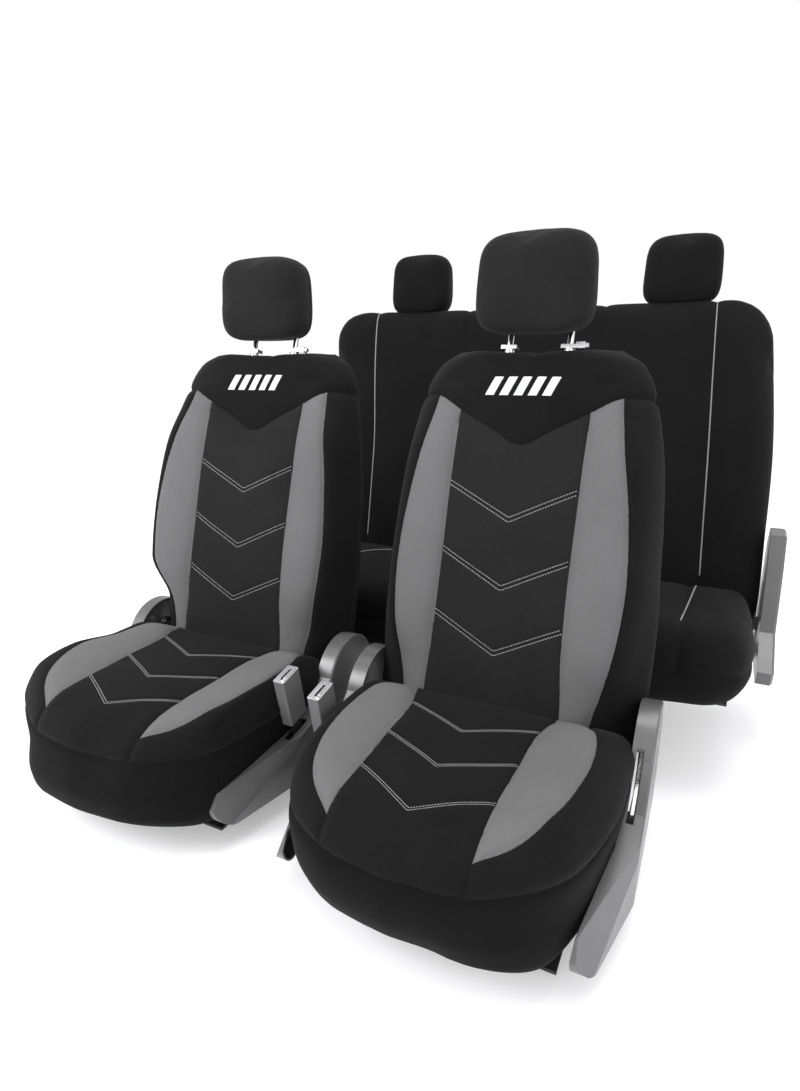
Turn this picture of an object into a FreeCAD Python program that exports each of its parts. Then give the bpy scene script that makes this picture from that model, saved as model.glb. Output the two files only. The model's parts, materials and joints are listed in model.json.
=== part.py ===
import FreeCAD, Part
import math
import os
import Sketcher
from FreeCAD import Placement, Rotation, Vector

# Seat cover set, fitted on two front bucket seats and a rear bench.
# Millimetres, +Z up, the seats face -Y. The origin lies on the floor under the middle of the set.
#
# Seat frame: x = 0 at the seat's middle, y = 0 at the bite line (where cushion and back meet),
# z = 0 on the floor. Back frame: origin on the bite line, z runs up along the back's front face,
# y runs into the back; it is the seat frame leaned back by the recline angle.

DIMENSIONS = [
    # layout
    ("front_left_x", -439), ("front_left_y", -255),
    ("front_right_x", 225), ("front_right_y", -282),
    ("bench_x", 45), ("bench_y", 415),
    # covers
    ("cover_thick", 4), ("headrest_cover_thick", 5),
    # front cushion
    ("bite_height", 262), ("cushion_top", 268), ("cushion_base", 130), ("cushion_rear", 14),
    ("cushion_fillet", 26), ("skirt_base", 46), ("skirt_inset", 2), ("skirt_rear", 30),
    ("centre_panel_drop", 64), ("insert_drop", 60), ("nose_half", 109), ("nose_y", -480),
    # front back
    ("recline", 15.2), ("back_height", 690), ("back_thick", 120), ("back_top_thick", 84),
    ("back_top_radius", 38), ("pivot_depth", 85), ("pivot_drop", 26),
    ("panel_half", 127), ("panel_foot_half", 137), ("yoke_corner", 558), ("yoke_tip", 492),
    ("yoke_outer", 588), ("bracket_space_half", 188), ("bracket_space_radius", 46),
    # floor rails and under-frame
    ("rail_spread", 190), ("rail_length", 430), ("rail_width", 50), ("rail_high", 26),
    ("rail_wall", 4), ("rail_front", 260), ("foot_long", 44), ("foot_thick", 6),
    ("foot_hole_radius", 5.5), ("runner_width", 34), ("runner_thick", 10), ("runner_gap", 2),
    ("web_thick", 8), ("pan_thick", 6), ("pan_half", 198), ("pan_front", -320),
    ("pan_deep", 285), ("runner_front", -225), ("runner_long", 360), ("web_top", 92),
    ("pan_web_long", 185), ("cross_tube_radius", 10), ("bracket_base", 50),
    # recliner
    ("pin_radius", 9), ("pin_gap", 0.05), ("pin_inner", 145), ("bracket_inner", 194),
    ("bracket_thick", 8), ("bracket_radius", 38), ("hub_radius", 22), ("hub_inner", 140),
    ("hub_outer", 185), ("hoop_half", 150), ("hoop_radius", 9), ("hoop_top", 545),
    ("lever_shaft_radius", 7),
    # side shields
    ("shield_inner", 268), ("shield_outer", 305), ("shield_wall", 4), ("shield_flange_z", 36),
    ("shield_bend_y", -170), ("shield_nose_y", -370), ("shield_nose_inner", 238),
    ("shield_nose_outer", 264), ("shield_chamfer", 3),
    ("lobe_y", 60), ("lobe_z", 190), ("lobe_radius", 98),
    ("facet_x", 246), ("facet_y", -335), ("facet_z", 120), ("facet_sweep", 21),
    ("facet_lean", 20), ("facet_size", 800),
    ("shield_flange_long", 60), ("shield_flange_thick", 4), ("shield_flange_lip", 16),
    ("shield_flange_front", -200), ("shield_flange_rear", 20),
    ("lever_slot_wide", 12), ("lever_slot_front", -118), ("lever_slot_long", 95),
    ("lever_slot_base", 122), ("slot_over", 130),
    ("stalk_slot_wide", 14), ("stalk_slot_long", 66), ("stalk_slot_front", 46),
    ("buckle_pin_long", 24),
    # recline lever
    ("lever_thick", 6), ("lever_width", 15), ("lever_reach", 165), ("lever_hub_radius", 16),
    ("lever_x", 282), ("lever_angle", 208),
    # belt buckle
    ("buckle_x", 283), ("buckle_y", -125), ("buckle_z", 110), ("buckle_lean", 12),
    ("stalk_thick", 8), ("stalk_width", 26), ("buckle_pin_radius", 5), ("casing_start", 76),
    ("casing_long", 108), ("casing_deep", 56), ("casing_wide", 26), ("tongue_slot", 6),
    ("tongue_long", 36), ("tongue_deep", 34),
    # headrests
    ("post_radius", 6), ("post_spread", 60), ("post_gap", 0.06), ("guide_depth", 53),
    ("guide_radius", 10), ("guide_long", 130), ("bezel_width", 32), ("bezel_deep", 20),
    ("bezel_high", 8), ("headrest_width", 240), ("headrest_high", 182), ("headrest_deep", 108),
    ("headrest_centre", 802), ("headrest_forward", 38), ("headrest_lean", 12),
    ("headrest_fillet", 36), ("headrest_bar", 792),
    # bench
    ("bench_bite", 356), ("bench_half", 645), ("bench_cushion_deep", 434), ("bench_rear", 15),
    ("bench_cushion_base", 165), ("bench_foam_base", 195), ("bench_corner", 75),
    ("bench_fillet", 45), ("bench_recline", 16.3), ("bench_back_half", 650),
    ("bench_back_high", 726), ("bench_back_thick", 130), ("bench_top_thick", 100),
    ("bench_pivot_depth", 75), ("bench_pivot_drop", 30), ("bench_back_corner", 90),
    ("bench_bracket_inner", 652), ("bench_bracket_thick", 6), ("bench_shield_inner", 664),
    ("bench_shield_outer", 700), ("bench_foot_x", 350), ("bench_foot_front", -330),
    ("bench_beam_z", 140), ("bench_foot_rear", -60), ("bench_post_radius", 5), ("bench_post_spread", 55),
    ("bench_rest_x", 389), ("bench_rest_width", 200), ("bench_rest_high", 168),
    ("bench_rest_deep", 96), ("bench_rest_centre", 817), ("bench_rest_forward", 22),
    ("bench_rest_fillet", 30), ("bench_rest_bar", 805),
    ("bench_tube_radius", 10), ("bench_hoop_top", 560), ("bench_upright_x", 560),
    ("bench_pin_inner", 600), ("bench_guide_radius", 9), ("bench_guide_long", 140),
]

doc = FreeCAD.newDocument("seat_cover_set")
sheet = doc.addObject("Spreadsheet::Sheet", "dimensions")
for row, (alias, value) in enumerate(DIMENSIONS, start=1):
    sheet.set("A%d" % row, alias)
    sheet.set("B%d" % row, str(value))
    sheet.setAlias("B%d" % row, alias)
doc.recompute()

subparts = []


def size(alias):
    """A driving dimension, read from the sheet."""
    return float(sheet.get(alias))


def register(piece, label, place):
    """Name a finished piece, put it in its place and list it for export."""
    piece.Label = label
    piece.Placement = place
    subparts.append(piece)
    return piece


def feature(label, shape, place):
    """A sub-part whose shape is made by Part's functions."""
    piece = doc.addObject("Part::Feature", label)
    piece.Shape = shape
    return register(piece, label, place)


def box(name, lengths, corner):
    """A Part::Box; lengths are three expressions on the sheet, corner its low corner."""
    piece = doc.addObject("Part::Box", name)
    for prop, expression in zip(("Length", "Width", "Height"), lengths):
        piece.setExpression(prop, expression)
    piece.Placement.Base = Vector(*corner)
    return piece


def rod(name, radius, length, start, direction):
    """A Part::Cylinder; radius and length are expressions on the sheet."""
    piece = doc.addObject("Part::Cylinder", name)
    piece.setExpression("Radius", radius)
    piece.setExpression("Height", length)
    piece.Placement = Placement(Vector(*start), Rotation(Vector(0, 0, 1), Vector(*direction)))
    return piece


def fuse(name, pieces):
    joined = doc.addObject("Part::MultiFuse", name)
    joined.Shapes = pieces
    return joined


def cut(name, base, tool):
    remainder = doc.addObject("Part::Cut", name)
    remainder.Base = base
    remainder.Tool = tool
    return remainder


def group(name, pieces):
    """Separate identical solids kept as one sub-part."""
    compound = doc.addObject("Part::Compound", name)
    compound.Links = pieces
    return compound


def origin_plane(body, role):
    return [item for item in body.Origin.OriginFeatures if item.Role == role][0]


def new_sketch(body, name, role, offset=0.0):
    """A sketch on one of the body's own origin planes, moved along its normal by offset."""
    sketch = body.newObject("Sketcher::SketchObject", name)
    sketch.AttachmentSupport = [(origin_plane(body, role), "")]
    sketch.MapMode = "FlatFace"
    sketch.AttachmentOffset.Base = Vector(0, 0, offset)
    return sketch


def add_polygon(sketch, points):
    """Closed straight-sided loop, its corners tied together."""
    count = len(points)
    first = sketch.GeometryCount
    for index in range(count):
        start = Vector(points[index][0], points[index][1], 0)
        end = Vector(points[(index + 1) % count][0], points[(index + 1) % count][1], 0)
        sketch.addGeometry(Part.LineSegment(start, end))
    for index in range(count):
        following = first + (index + 1) % count
        sketch.addConstraint(Sketcher.Constraint("Coincident", first + index, 2, following, 1))


def pad(body, name, sketch, length):
    added = body.newObject("PartDesign::Pad", name)
    added.Profile = sketch
    added.setExpression("Length", length)
    return added


# ---------------------------------------------------------------- outlines and soft blocks

def spline_edge(points):
    curve = Part.BSplineCurve()
    curve.interpolate([Vector(*point) for point in points])
    return curve.toShape()


def line_edge(start, end):
    return Part.makeLine(Vector(*start), Vector(*end))


def face(edges):
    return Part.Face(Part.Wire(Part.__sortEdges__(edges)))


def outline_wire(half_outline, depth):
    """Closed wire at one depth, up the right side, over the top and down the left side."""
    right = [(half, depth, height) for half, height in half_outline]
    left = [(-half, depth, height) for half, height in reversed(half_outline)]
    return Part.Wire([spline_edge(right), line_edge(right[-1], left[0]), spline_edge(left),
                      line_edge(left[-1], right[0])])


def polygon_prism(points, direction):
    closed = [Vector(*point) for point in points] + [Vector(*points[0])]
    return Part.Face(Part.makePolygon(closed)).extrude(Vector(*direction))


def side_profile(height, thick, top_thick, top_radius, depth, drop, inset, half):
    """Back block seen from the side: flat front, rounded top, foot rounded about the pivot."""
    front = inset
    rear = thick - inset
    rear_top = top_thick - inset
    top = height - inset
    radius = depth - inset
    foot = -drop - math.sqrt(radius ** 2 - (rear - depth) ** 2)
    bend = top_radius * (1 - math.sqrt(0.5))
    shoulder = height * 0.45
    edges = [
        line_edge((-half, front, -drop), (-half, front, top - top_radius)),
        Part.Arc(Vector(-half, front, top - top_radius),
                 Vector(-half, front + bend, top - bend),
                 Vector(-half, front + top_radius, top)).toShape(),
        line_edge((-half, front + top_radius, top), (-half, rear_top, top)),
        line_edge((-half, rear_top, top), (-half, rear, shoulder)),
        line_edge((-half, rear, shoulder), (-half, rear, foot)),
        Part.Arc(Vector(-half, rear, foot),
                 Vector(-half, depth, -drop - radius),
                 Vector(-half, front, -drop)).toShape(),
    ]
    return face(edges).extrude(Vector(2 * half, 0, 0))


def hinge_cutter(radius, half):
    """Cylinder across the seat at the recline pivot, in the back frame."""
    centre = Vector(-half, size("pivot_depth"), -size("pivot_drop"))
    return Part.makeCylinder(radius, 2 * half, centre, Vector(1, 0, 0))


def front_back_block(inset):
    """Front seat's back: side profile crossed with an outline that widens to the rear."""
    height = size("back_height")
    near = [
        (168, -115), (180, 0), (208, 85), (228, 180), (231, 260),
        (228, 370), (217, 490), (190, 585), (164, 645), (124, height),
    ]
    far = [
        (215, -115), (262, 0), (264, 85), (274, 180), (272, 260),
        (256, 370), (243, 490), (224, 585), (204, 645), (158, height),
    ]
    wires = []
    for outline, depth in ((near, -10), (far, size("back_thick") + 10)):
        shrunk = [(half - inset, level) for half, level in outline]
        shrunk[-1] = (shrunk[-1][0], height - inset)
        wires.append(outline_wire(shrunk, depth))
    profile = side_profile(height, size("back_thick"), size("back_top_thick"),
                           size("back_top_radius"), size("pivot_depth"), size("pivot_drop"),
                           inset, 290)
    return profile.common(Part.makeLoft(wires, True, True))


def bracket_space(hand):
    """Room beside the back's foot for the recliner bracket, through the whole recline."""
    start = hand * size("bracket_space_half")
    depth = size("pivot_depth")
    level = -size("pivot_drop")
    radius = size("bracket_space_radius")
    reach = depth + 15
    eye = Part.makeCylinder(radius, reach, Vector(start, depth, level), Vector(hand, 0, 0))
    fan = [(start, depth - radius, level), (start, depth + radius, level),
           (start, depth + radius + 30, level - reach), (start, depth - radius - 30, level - reach)]
    return eye.fuse(polygon_prism(fan, (hand * reach, 0, 0)))


def cushion_outline(inset, level):
    """Front cushion's plan, a face at the given height."""
    rear = -size("cushion_rear")
    right = [(256, rear), (264, -90), (262, -180), (243, -280), (200, -372), (120, -438), (0, -460)]
    nose_in = [(max(x - inset * (x > 0), 0), y + inset * (y < -350)) for x, y in right]
    left = [(-x, y) for x, y in reversed(nose_in[:-1])]
    loop = [(x, y, level) for x, y in nose_in + left]
    return face([spline_edge(loop), line_edge(loop[-1], loop[0])])


def cushion_block(inset, low, high, fillet):
    """Plan outline raised between two levels, its top edge rounded."""
    block = cushion_outline(inset, low).extrude(Vector(0, 0, high - low))
    if not fillet:
        return block
    rim = [edge for edge in block.Edges
           if abs(edge.BoundBox.ZMin - high) < 0.01 and edge.BoundBox.YLength > 50]
    return block.makeFillet(fillet, rim)


def rounded_box(width, deep, high, fillet, inset):
    """Padded block centred on the origin, every edge rounded."""
    block = Part.makeBox(width - 2 * inset, deep - 2 * inset, high - 2 * inset,
                         Vector(inset - width / 2, inset - deep / 2, inset - high / 2))
    return block.makeFillet(fillet - inset, block.Edges)


# ---------------------------------------------------------------- placements

def seat_place(x, y):
    return Placement(Vector(x, y, 0), Rotation())


def back_place(seat, bite, recline):
    lean = Placement(Vector(0, 0, bite), Rotation(Vector(1, 0, 0), -recline))
    return seat.multiply(lean)


def pivot_point(bite, recline, depth, drop):
    """Recline pivot in the seat frame."""
    angle = math.radians(recline)
    y = depth * math.cos(angle) - drop * math.sin(angle)
    z = bite - depth * math.sin(angle) - drop * math.cos(angle)
    return y, z


# ---------------------------------------------------------------- front seat: frame and rails

def floor_rail(name, x, y):
    """U-shaped lower rail with a bolted foot at each end."""
    half = size("rail_width") / 2
    wall = size("rail_wall")
    high = size("rail_high")
    body = doc.addObject("PartDesign::Body", name + "_channel")
    sketch = new_sketch(body, name + "_section", "XZ_Plane")
    add_polygon(sketch, [
        (-half, 0), (half, 0), (half, high), (half - wall, high),
        (half - wall, wall), (wall - half, wall), (wall - half, high), (-half, high),
    ])
    channel = pad(body, name + "_pad", sketch, "dimensions.rail_length")
    channel.Reversed = True
    body.Tip = channel
    body.Placement.Base = Vector(x, y - size("rail_front"), 0)
    long = size("foot_long")
    feet = []
    holes = []
    ends = (y - size("rail_front") - long, y - size("rail_front") + size("rail_length"))
    for index, low in enumerate(ends):
        feet.append(box("%s_foot_%d" % (name, index),
                        ("dimensions.rail_width", "dimensions.foot_long", "dimensions.foot_thick"),
                        (x - half, low, 0)))
        holes.append(rod("%s_hole_%d" % (name, index), "dimensions.foot_hole_radius",
                         "dimensions.foot_thick + 2", (x, low + long / 2, -1), (0, 0, 1)))
    welded = fuse(name + "_welded", [body] + feet)
    return cut(name, welded, fuse(name + "_holes", holes))


def front_rails():
    spread = size("rail_spread")
    rails = []
    for side in ("left", "right"):
        x = size("front_%s_x" % side)
        y = size("front_%s_y" % side)
        rails.append(floor_rail("rail_%s_inner" % side, x - spread, y))
        rails.append(floor_rail("rail_%s_outer" % side, x + spread, y))
    register(group("front_rails", rails), "front_rails", Placement())


def slider_frame(side, outer, seat):
    """Runners, side webs, seat pan, cross tubes, recliner brackets and their pins, welded."""
    spread = size("rail_spread")
    web = size("web_thick")
    pivot_y, pivot_z = pivot_point(size("bite_height"), size("recline"),
                                   size("pivot_depth"), size("pivot_drop"))
    pan_low = size("cushion_base") - size("pan_thick")
    runner_low = size("rail_wall") + size("runner_gap")
    front = size("runner_front")
    base = size("bracket_base")
    pieces = [box(side + "_pan", ("2 * dimensions.pan_half", "dimensions.pan_deep",
                                   "dimensions.pan_thick"),
                  (-size("pan_half"), size("pan_front"), pan_low))]
    for hand in (-1, 1):
        tag = "%s_%s" % (side, "right" if hand > 0 else "left")
        pieces.append(box(tag + "_runner",
                          ("dimensions.runner_width", "dimensions.runner_long",
                           "dimensions.runner_thick"),
                          (hand * spread - size("runner_width") / 2, front, runner_low)))
        pieces.append(box(tag + "_web", ("dimensions.web_thick", "dimensions.runner_long",
                                         "dimensions.web_top - %f" % runner_low),
                          (hand * spread - web / 2, front, runner_low)))
        pieces.append(box(tag + "_pan_web", ("dimensions.web_thick", "dimensions.pan_web_long",
                                             "dimensions.cushion_base - dimensions.web_top + 2"),
                          (hand * spread - web / 2, front, size("web_top") - 5)))
        low = size("bracket_inner") if hand > 0 else -size("bracket_inner") - size("bracket_thick")
        pieces.append(box(tag + "_bracket", ("dimensions.bracket_thick",
                                             "2 * dimensions.bracket_radius",
                                             "%f" % (pivot_z - base)),
                          (low, pivot_y - size("bracket_radius"), base)))
        pieces.append(rod(tag + "_bracket_eye", "dimensions.bracket_radius",
                          "dimensions.bracket_thick", (low, pivot_y, pivot_z), (1, 0, 0)))
        pieces.append(rod(tag + "_pin", "dimensions.pin_radius",
                          "dimensions.bracket_inner + dimensions.bracket_thick"
                          " - dimensions.pin_inner",
                          (hand * size("pin_inner"), pivot_y, pivot_z), (hand, 0, 0)))
    for index, (y, z) in enumerate(((-205, 82), (105, 78))):
        pieces.append(rod("%s_cross_tube_%d" % (side, index), "dimensions.cross_tube_radius",
                          "2 * dimensions.rail_spread", (-spread, y, z), (1, 0, 0)))
    pieces.append(rod(side + "_lever_shaft", "dimensions.lever_shaft_radius",
                      "dimensions.lever_x + 12 - dimensions.bracket_inner",
                      (outer * size("bracket_inner"), pivot_y, pivot_z), (outer, 0, 0)))
    label = "front_%s_slider_frame" % side
    register(fuse(label, pieces), label, seat)


# ---------------------------------------------------------------- front seat: cushion

def leaf_prism(hand, low, high):
    """Grey cushion insert seen from above: a leaf that ends in a point at the front."""
    rear = -size("cushion_rear")
    outer_edge = [(190, rear), (207, -60), (216, -130), (212, -200), (194, -290), (160, -360),
                  (112, -402)]
    inner_edge = [(size("panel_foot_half"), rear), (121, -77), (115, -190), (111, -300),
                  (112, -402)]
    outer_edge = [(hand * x, y, low) for x, y in outer_edge]
    inner_edge = [(hand * x, y, low) for x, y in inner_edge]
    edges = [spline_edge(outer_edge), spline_edge(inner_edge),
             line_edge(inner_edge[0], outer_edge[0])]
    return face(edges).extrude(Vector(0, 0, high - low))


def centre_prism(low, high):
    """Black centre panel seen from above; it runs over the front edge."""
    rear = -size("cushion_rear")
    inner_edge = [(size("panel_foot_half"), rear), (121, -77), (115, -190), (111, -300),
                  (112, -402)]
    right = [(x, y, low) for x, y in inner_edge]
    left = [(-x, y, low) for x, y in inner_edge]
    nose_right = (size("nose_half"), size("nose_y"), low)
    nose_left = (-size("nose_half"), size("nose_y"), low)
    edges = [
        spline_edge(right),
        spline_edge(left),
        line_edge(left[0], right[0]),
        line_edge(right[-1], nose_right),
        line_edge(nose_right, nose_left),
        line_edge(nose_left, left[-1]),
    ]
    return face(edges).extrude(Vector(0, 0, high - low))


def cushion_pieces(side, seat):
    thick = size("cover_thick")
    base = size("cushion_base")
    top = size("cushion_top")
    fillet = size("cushion_fillet")
    core = cushion_block(thick, base, top - thick, fillet - thick)
    shell = cushion_block(0, base, top, fillet).cut(core)
    centre_cut = centre_prism(top - size("centre_panel_drop"), top + 5)
    leaves = [leaf_prism(hand, top - size("insert_drop"), top + 5) for hand in (-1, 1)]
    centre = shell.common(centre_cut)
    inserts = Part.makeCompound([shell.common(leaf).Solids[0] for leaf in leaves])
    border = shell.cut(centre_cut).cut(leaves[0]).cut(leaves[1])
    prefix = "front_%s_cushion_" % side
    feature(prefix + "foam", core, seat)
    feature(prefix + "centre_panel", centre.Solids[0], seat)
    feature(prefix + "inserts", inserts, seat)
    feature(prefix + "border", border, seat)
    feature(prefix + "skirt", cushion_skirt(), seat)


def cushion_skirt():
    """Hanging lower band of the cushion cover, open at the rear where the back's foot turns."""
    inset = size("skirt_inset")
    low = size("skirt_base")
    high = size("cushion_base")
    ring = cushion_block(inset, low, high, 0).cut(
        cushion_block(inset + size("cover_thick"), low - 1, high + 1, 0))
    opening = Part.makeBox(600, 60, high, Vector(-300, -size("skirt_rear"), 0))
    return ring.cut(opening)


# ---------------------------------------------------------------- front seat: back

def insert_outline(hand):
    """Grey back insert seen from the front, cut off along the slant of the yoke."""
    foot = -size("pivot_drop")
    corner = size("yoke_corner")
    top = size("yoke_outer")
    outer_edge = [(189, foot), (199, 40), (215, 127), (222, 230), (212, 380), (191, 495),
                  (179, top)]
    inner_edge = [(size("panel_foot_half"), foot), (129, 90), (size("panel_half"), 250),
                  (size("panel_half"), 410), (128, corner)]
    outer_edge = [(hand * x, -10, z) for x, z in outer_edge]
    inner_edge = [(hand * x, -10, z) for x, z in inner_edge]
    edges = [spline_edge(outer_edge), spline_edge(inner_edge),
             line_edge(inner_edge[0], outer_edge[0]), line_edge(inner_edge[-1], outer_edge[-1])]
    return face(edges)


def yoke_prism(depth):
    """Area above the V seam, between the slanted tops of the inserts."""
    corner = size("yoke_corner")
    top = size("yoke_outer")
    high = size("back_height") + 20
    points = [(0, size("yoke_tip")), (128, corner), (179, top), (190, 600), (190, high),
              (-190, high), (-190, 600), (-179, top), (-128, corner)]
    return polygon_prism([(x, -10, z) for x, z in points], (0, depth + 10, 0))


def centre_back_prism(depth):
    foot = -size("pivot_drop")
    corner = size("yoke_corner")
    edge = [(size("panel_foot_half"), foot), (129, 90), (size("panel_half"), 250),
            (size("panel_half"), 410), (128, corner)]
    right = [(x, -10, z) for x, z in edge]
    left = [(-x, -10, z) for x, z in edge]
    edges = [
        spline_edge(right),
        spline_edge(left),
        line_edge(left[0], right[0]),
        line_edge(right[-1], (0, -10, size("yoke_tip"))),
        line_edge(left[-1], (0, -10, size("yoke_tip"))),
    ]
    return face(edges).extrude(Vector(0, depth + 10, 0))


def back_frame_shape():
    """Tube hoop with a recliner hub on each side, in the back frame."""
    depth = size("pivot_depth")
    drop = size("pivot_drop")
    half = size("hoop_half")
    radius = size("hoop_radius")
    top = size("hoop_top")
    lean = 22
    shape = Part.makeCylinder(radius, 2 * half, Vector(-half, depth - lean, top), Vector(1, 0, 0))
    shape = shape.fuse(Part.makeCylinder(radius, 2 * half, Vector(-half, depth, 60),
                                         Vector(1, 0, 0)))
    for hand in (-1, 1):
        foot = Vector(hand * half, depth, -drop)
        knee = Vector(hand * half, depth, 60)
        head = Vector(hand * half, depth - lean, top)
        shape = shape.fuse(Part.makeCylinder(radius, (knee - foot).Length, foot, knee - foot))
        shape = shape.fuse(Part.makeCylinder(radius, (head - knee).Length, knee, head - knee))
        shape = shape.fuse(Part.makeSphere(radius, knee))
        shape = shape.fuse(Part.makeSphere(radius, head))
        inner = hand * size("hub_inner")
        shape = shape.fuse(Part.makeCylinder(size("hub_radius"),
                                             size("hub_outer") - size("hub_inner"),
                                             Vector(inner, depth, -drop), Vector(hand, 0, 0)))
    return shape.cut(hinge_cutter(size("pin_radius") + size("pin_gap"), 250)).removeSplitter()


def guide_tube_space(radius, spread, depth, top, long):
    """Cylinders along the two headrest guides, in the back frame."""
    tubes = [Part.makeCylinder(radius, long, Vector(hand * spread, depth, top - long))
             for hand in (-1, 1)]
    return tubes[0].fuse(tubes[1])


def back_pieces(side, back):
    thick = size("cover_thick")
    height = size("back_height")
    frame = back_frame_shape()
    hub_space = hinge_cutter(size("hub_radius"), 250)
    guides = guide_tube_space(size("guide_radius"), size("post_spread"), size("guide_depth"),
                              height + 1, size("guide_long") + 1)
    core = front_back_block(thick)
    spaces = bracket_space(-1).fuse(bracket_space(1))
    shell = front_back_block(0).cut(core).cut(hub_space).cut(guides).cut(spaces)
    foam = core.cut(frame).cut(hub_space).cut(guides).cut(spaces)
    panel_deep = size("back_top_radius")
    yoke_cut = yoke_prism(panel_deep)
    centre_cut = centre_back_prism(thick)
    insert_cuts = [insert_outline(hand).extrude(Vector(0, thick + 10, 0)) for hand in (-1, 1)]
    inserts = Part.makeCompound([largest(shell.common(piece)) for piece in insert_cuts])
    rest = shell.cut(yoke_cut).cut(centre_cut).cut(insert_cuts[0]).cut(insert_cuts[1])
    prefix = "front_%s_back_" % side
    feature(prefix + "frame", frame, back)
    feature(prefix + "foam", largest(foam), back)
    feature(prefix + "centre_panel", shell.common(centre_cut).Solids[0], back)
    feature(prefix + "inserts", inserts, back)
    feature(prefix + "yoke", largest(shell.common(yoke_cut)), back)
    feature(prefix + "side_panel", largest(rest), back)


def largest(shape):
    return max(shape.Solids, key=lambda solid: solid.Volume)


# ---------------------------------------------------------------- front seat: shields and lever

def shield_points(inset):
    """Corner points of a side shield in the seat frame's YZ plane, without the lobe."""
    return {
        "bottom_front": (-322, 48 + inset),
        "toe": (-348 + inset, 66),
        "nose": (-358 + inset, 90),
        "top_front": (-340 + inset, 116 - inset),
        "waist": (-96, 162 - inset),
        "bottom_rear": (122, 48 + inset),
        "heel": (158 - inset, 96),
    }


def shield_face(x, inset):
    """Strip with a raised round lobe over the recliner."""
    spots = {name: (x, y, z) for name, (y, z) in shield_points(inset).items()}
    lobe = Vector(x, size("lobe_y"), size("lobe_z"))
    radius = size("lobe_radius") - inset

    def lobe_point(degrees):
        angle = math.radians(degrees)
        return lobe + Vector(0, radius * math.cos(angle), radius * math.sin(angle))

    lobe_start = lobe_point(160)
    lobe_end = lobe_point(0)
    edges = [
        Part.Arc(Vector(*spots["bottom_front"]), Vector(*spots["toe"]),
                 Vector(*spots["nose"])).toShape(),
        Part.makeLine(Vector(*spots["nose"]), Vector(*spots["top_front"])),
        Part.makeLine(Vector(*spots["top_front"]), Vector(*spots["waist"])),
        Part.makeLine(Vector(*spots["waist"]), lobe_start),
        Part.Arc(lobe_start, lobe_point(80), lobe_end).toShape(),
        Part.makeLine(lobe_end, Vector(*spots["heel"])),
        Part.makeLine(Vector(*spots["heel"]), Vector(*spots["bottom_rear"])),
        Part.makeLine(Vector(*spots["bottom_rear"]), Vector(*spots["bottom_front"])),
    ]
    return face(edges)


def shield_band(inner, nose_inner, inset):
    """Plan of a shield, bent inwards along the cushion's front; inner edges are given."""
    outer = size("shield_outer") - inset
    nose = size("shield_nose_outer") - inset
    front = size("shield_nose_y")
    bend = size("shield_bend_y")
    plan = [(inner, 200), (outer, 200), (outer, bend), (nose, front), (nose_inner, front),
            (inner, bend)]
    return polygon_prism([(x, y, 0) for x, y in plan], (0, 0, 320))


def facet_space(inset):
    """Space beyond the slanted facet that thins the shield towards its nose."""
    span = size("facet_size")
    block = Part.makeBox(span, span, span, Vector(0, -span / 2, -span / 2))
    turn = Rotation(-size("facet_sweep"), -size("facet_lean"), 0)
    corner = Vector(size("facet_x"), size("facet_y"), size("facet_z"))
    block.Placement = Placement(corner - turn.multVec(Vector(inset, 0, 0)), turn)
    return block


def shield_shell(hand):
    """Moulded shield, hollow towards the seat, with a flange to the under-frame's web."""
    inner = size("shield_inner")
    nose_inner = size("shield_nose_inner")
    wall = size("shield_wall")
    web_face = size("rail_spread") + size("web_thick") / 2
    blank = shield_face(web_face, 0).extrude(Vector(size("shield_outer") - web_face + 5, 0, 0))
    shell = blank.common(shield_band(inner, nose_inner, 0))
    rim = [edge for edge in shell.Edges if on_outer_face(edge)]
    shell = shell.makeChamfer(size("shield_chamfer"), rim).cut(facet_space(0))
    hollow = shield_face(web_face, wall).extrude(Vector(size("shield_outer") - web_face, 0, 0))
    hollow = hollow.common(shield_band(web_face, web_face, wall))
    shell = shell.cut(hollow.cut(facet_space(wall)))
    flange_z = size("shield_flange_z")
    long = size("shield_flange_long")
    for y in (size("shield_flange_front"), size("shield_flange_rear")):
        shell = shell.fuse(Part.makeBox(inner + wall - web_face, long, size("shield_flange_thick"),
                                        Vector(web_face, y, flange_z)))
        shell = shell.fuse(Part.makeBox(wall, long, size("shield_flange_lip"),
                                        Vector(inner, y, flange_z)))
    if hand > 0:
        return shell.removeSplitter()
    return shell.removeSplitter().mirror(Vector(), Vector(1, 0, 0))


def on_outer_face(edge):
    """Whether an edge borders the shield's outer faces; the crease between them does not."""
    bend = size("shield_bend_y")
    slope = (size("shield_outer") - size("shield_nose_outer")) / (bend - size("shield_nose_y"))
    for vertex in edge.Vertexes:
        face_x = size("shield_outer") - slope * max(bend - vertex.Y, 0)
        if abs(vertex.X - face_x) > 0.01:
            return False
    return edge.BoundBox.YLength > 0.01


def outer_shield(side, outer, seat):
    """The shield with the slot that the recline lever swings in."""
    wide = size("lever_slot_wide")
    slot = Part.makeBox(wide, size("lever_slot_long"), size("slot_over"),
                        Vector(outer * size("lever_x") - wide / 2, size("lever_slot_front"),
                               size("lever_slot_base")))
    feature("front_%s_outer_shield" % side, shield_shell(outer).cut(slot), seat)


def inner_shield(side, inner, seat):
    """The shield with the slot for the buckle's stalk and the pin that the stalk swings on."""
    wide = size("stalk_slot_wide")
    slot = Part.makeBox(wide, size("stalk_slot_long"), size("slot_over"),
                        Vector(inner * size("buckle_x") - wide / 2,
                               size("buckle_y") - size("stalk_slot_front"), 130))
    start = inner * (size("shield_outer") - size("shield_wall"))
    pin = Part.makeCylinder(size("buckle_pin_radius"), size("buckle_pin_long"),
                            Vector(start, size("buckle_y"), size("buckle_z")),
                            Vector(-inner, 0, 0))
    feature("front_%s_inner_shield" % side, shield_shell(inner).cut(slot).fuse(pin), seat)


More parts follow.
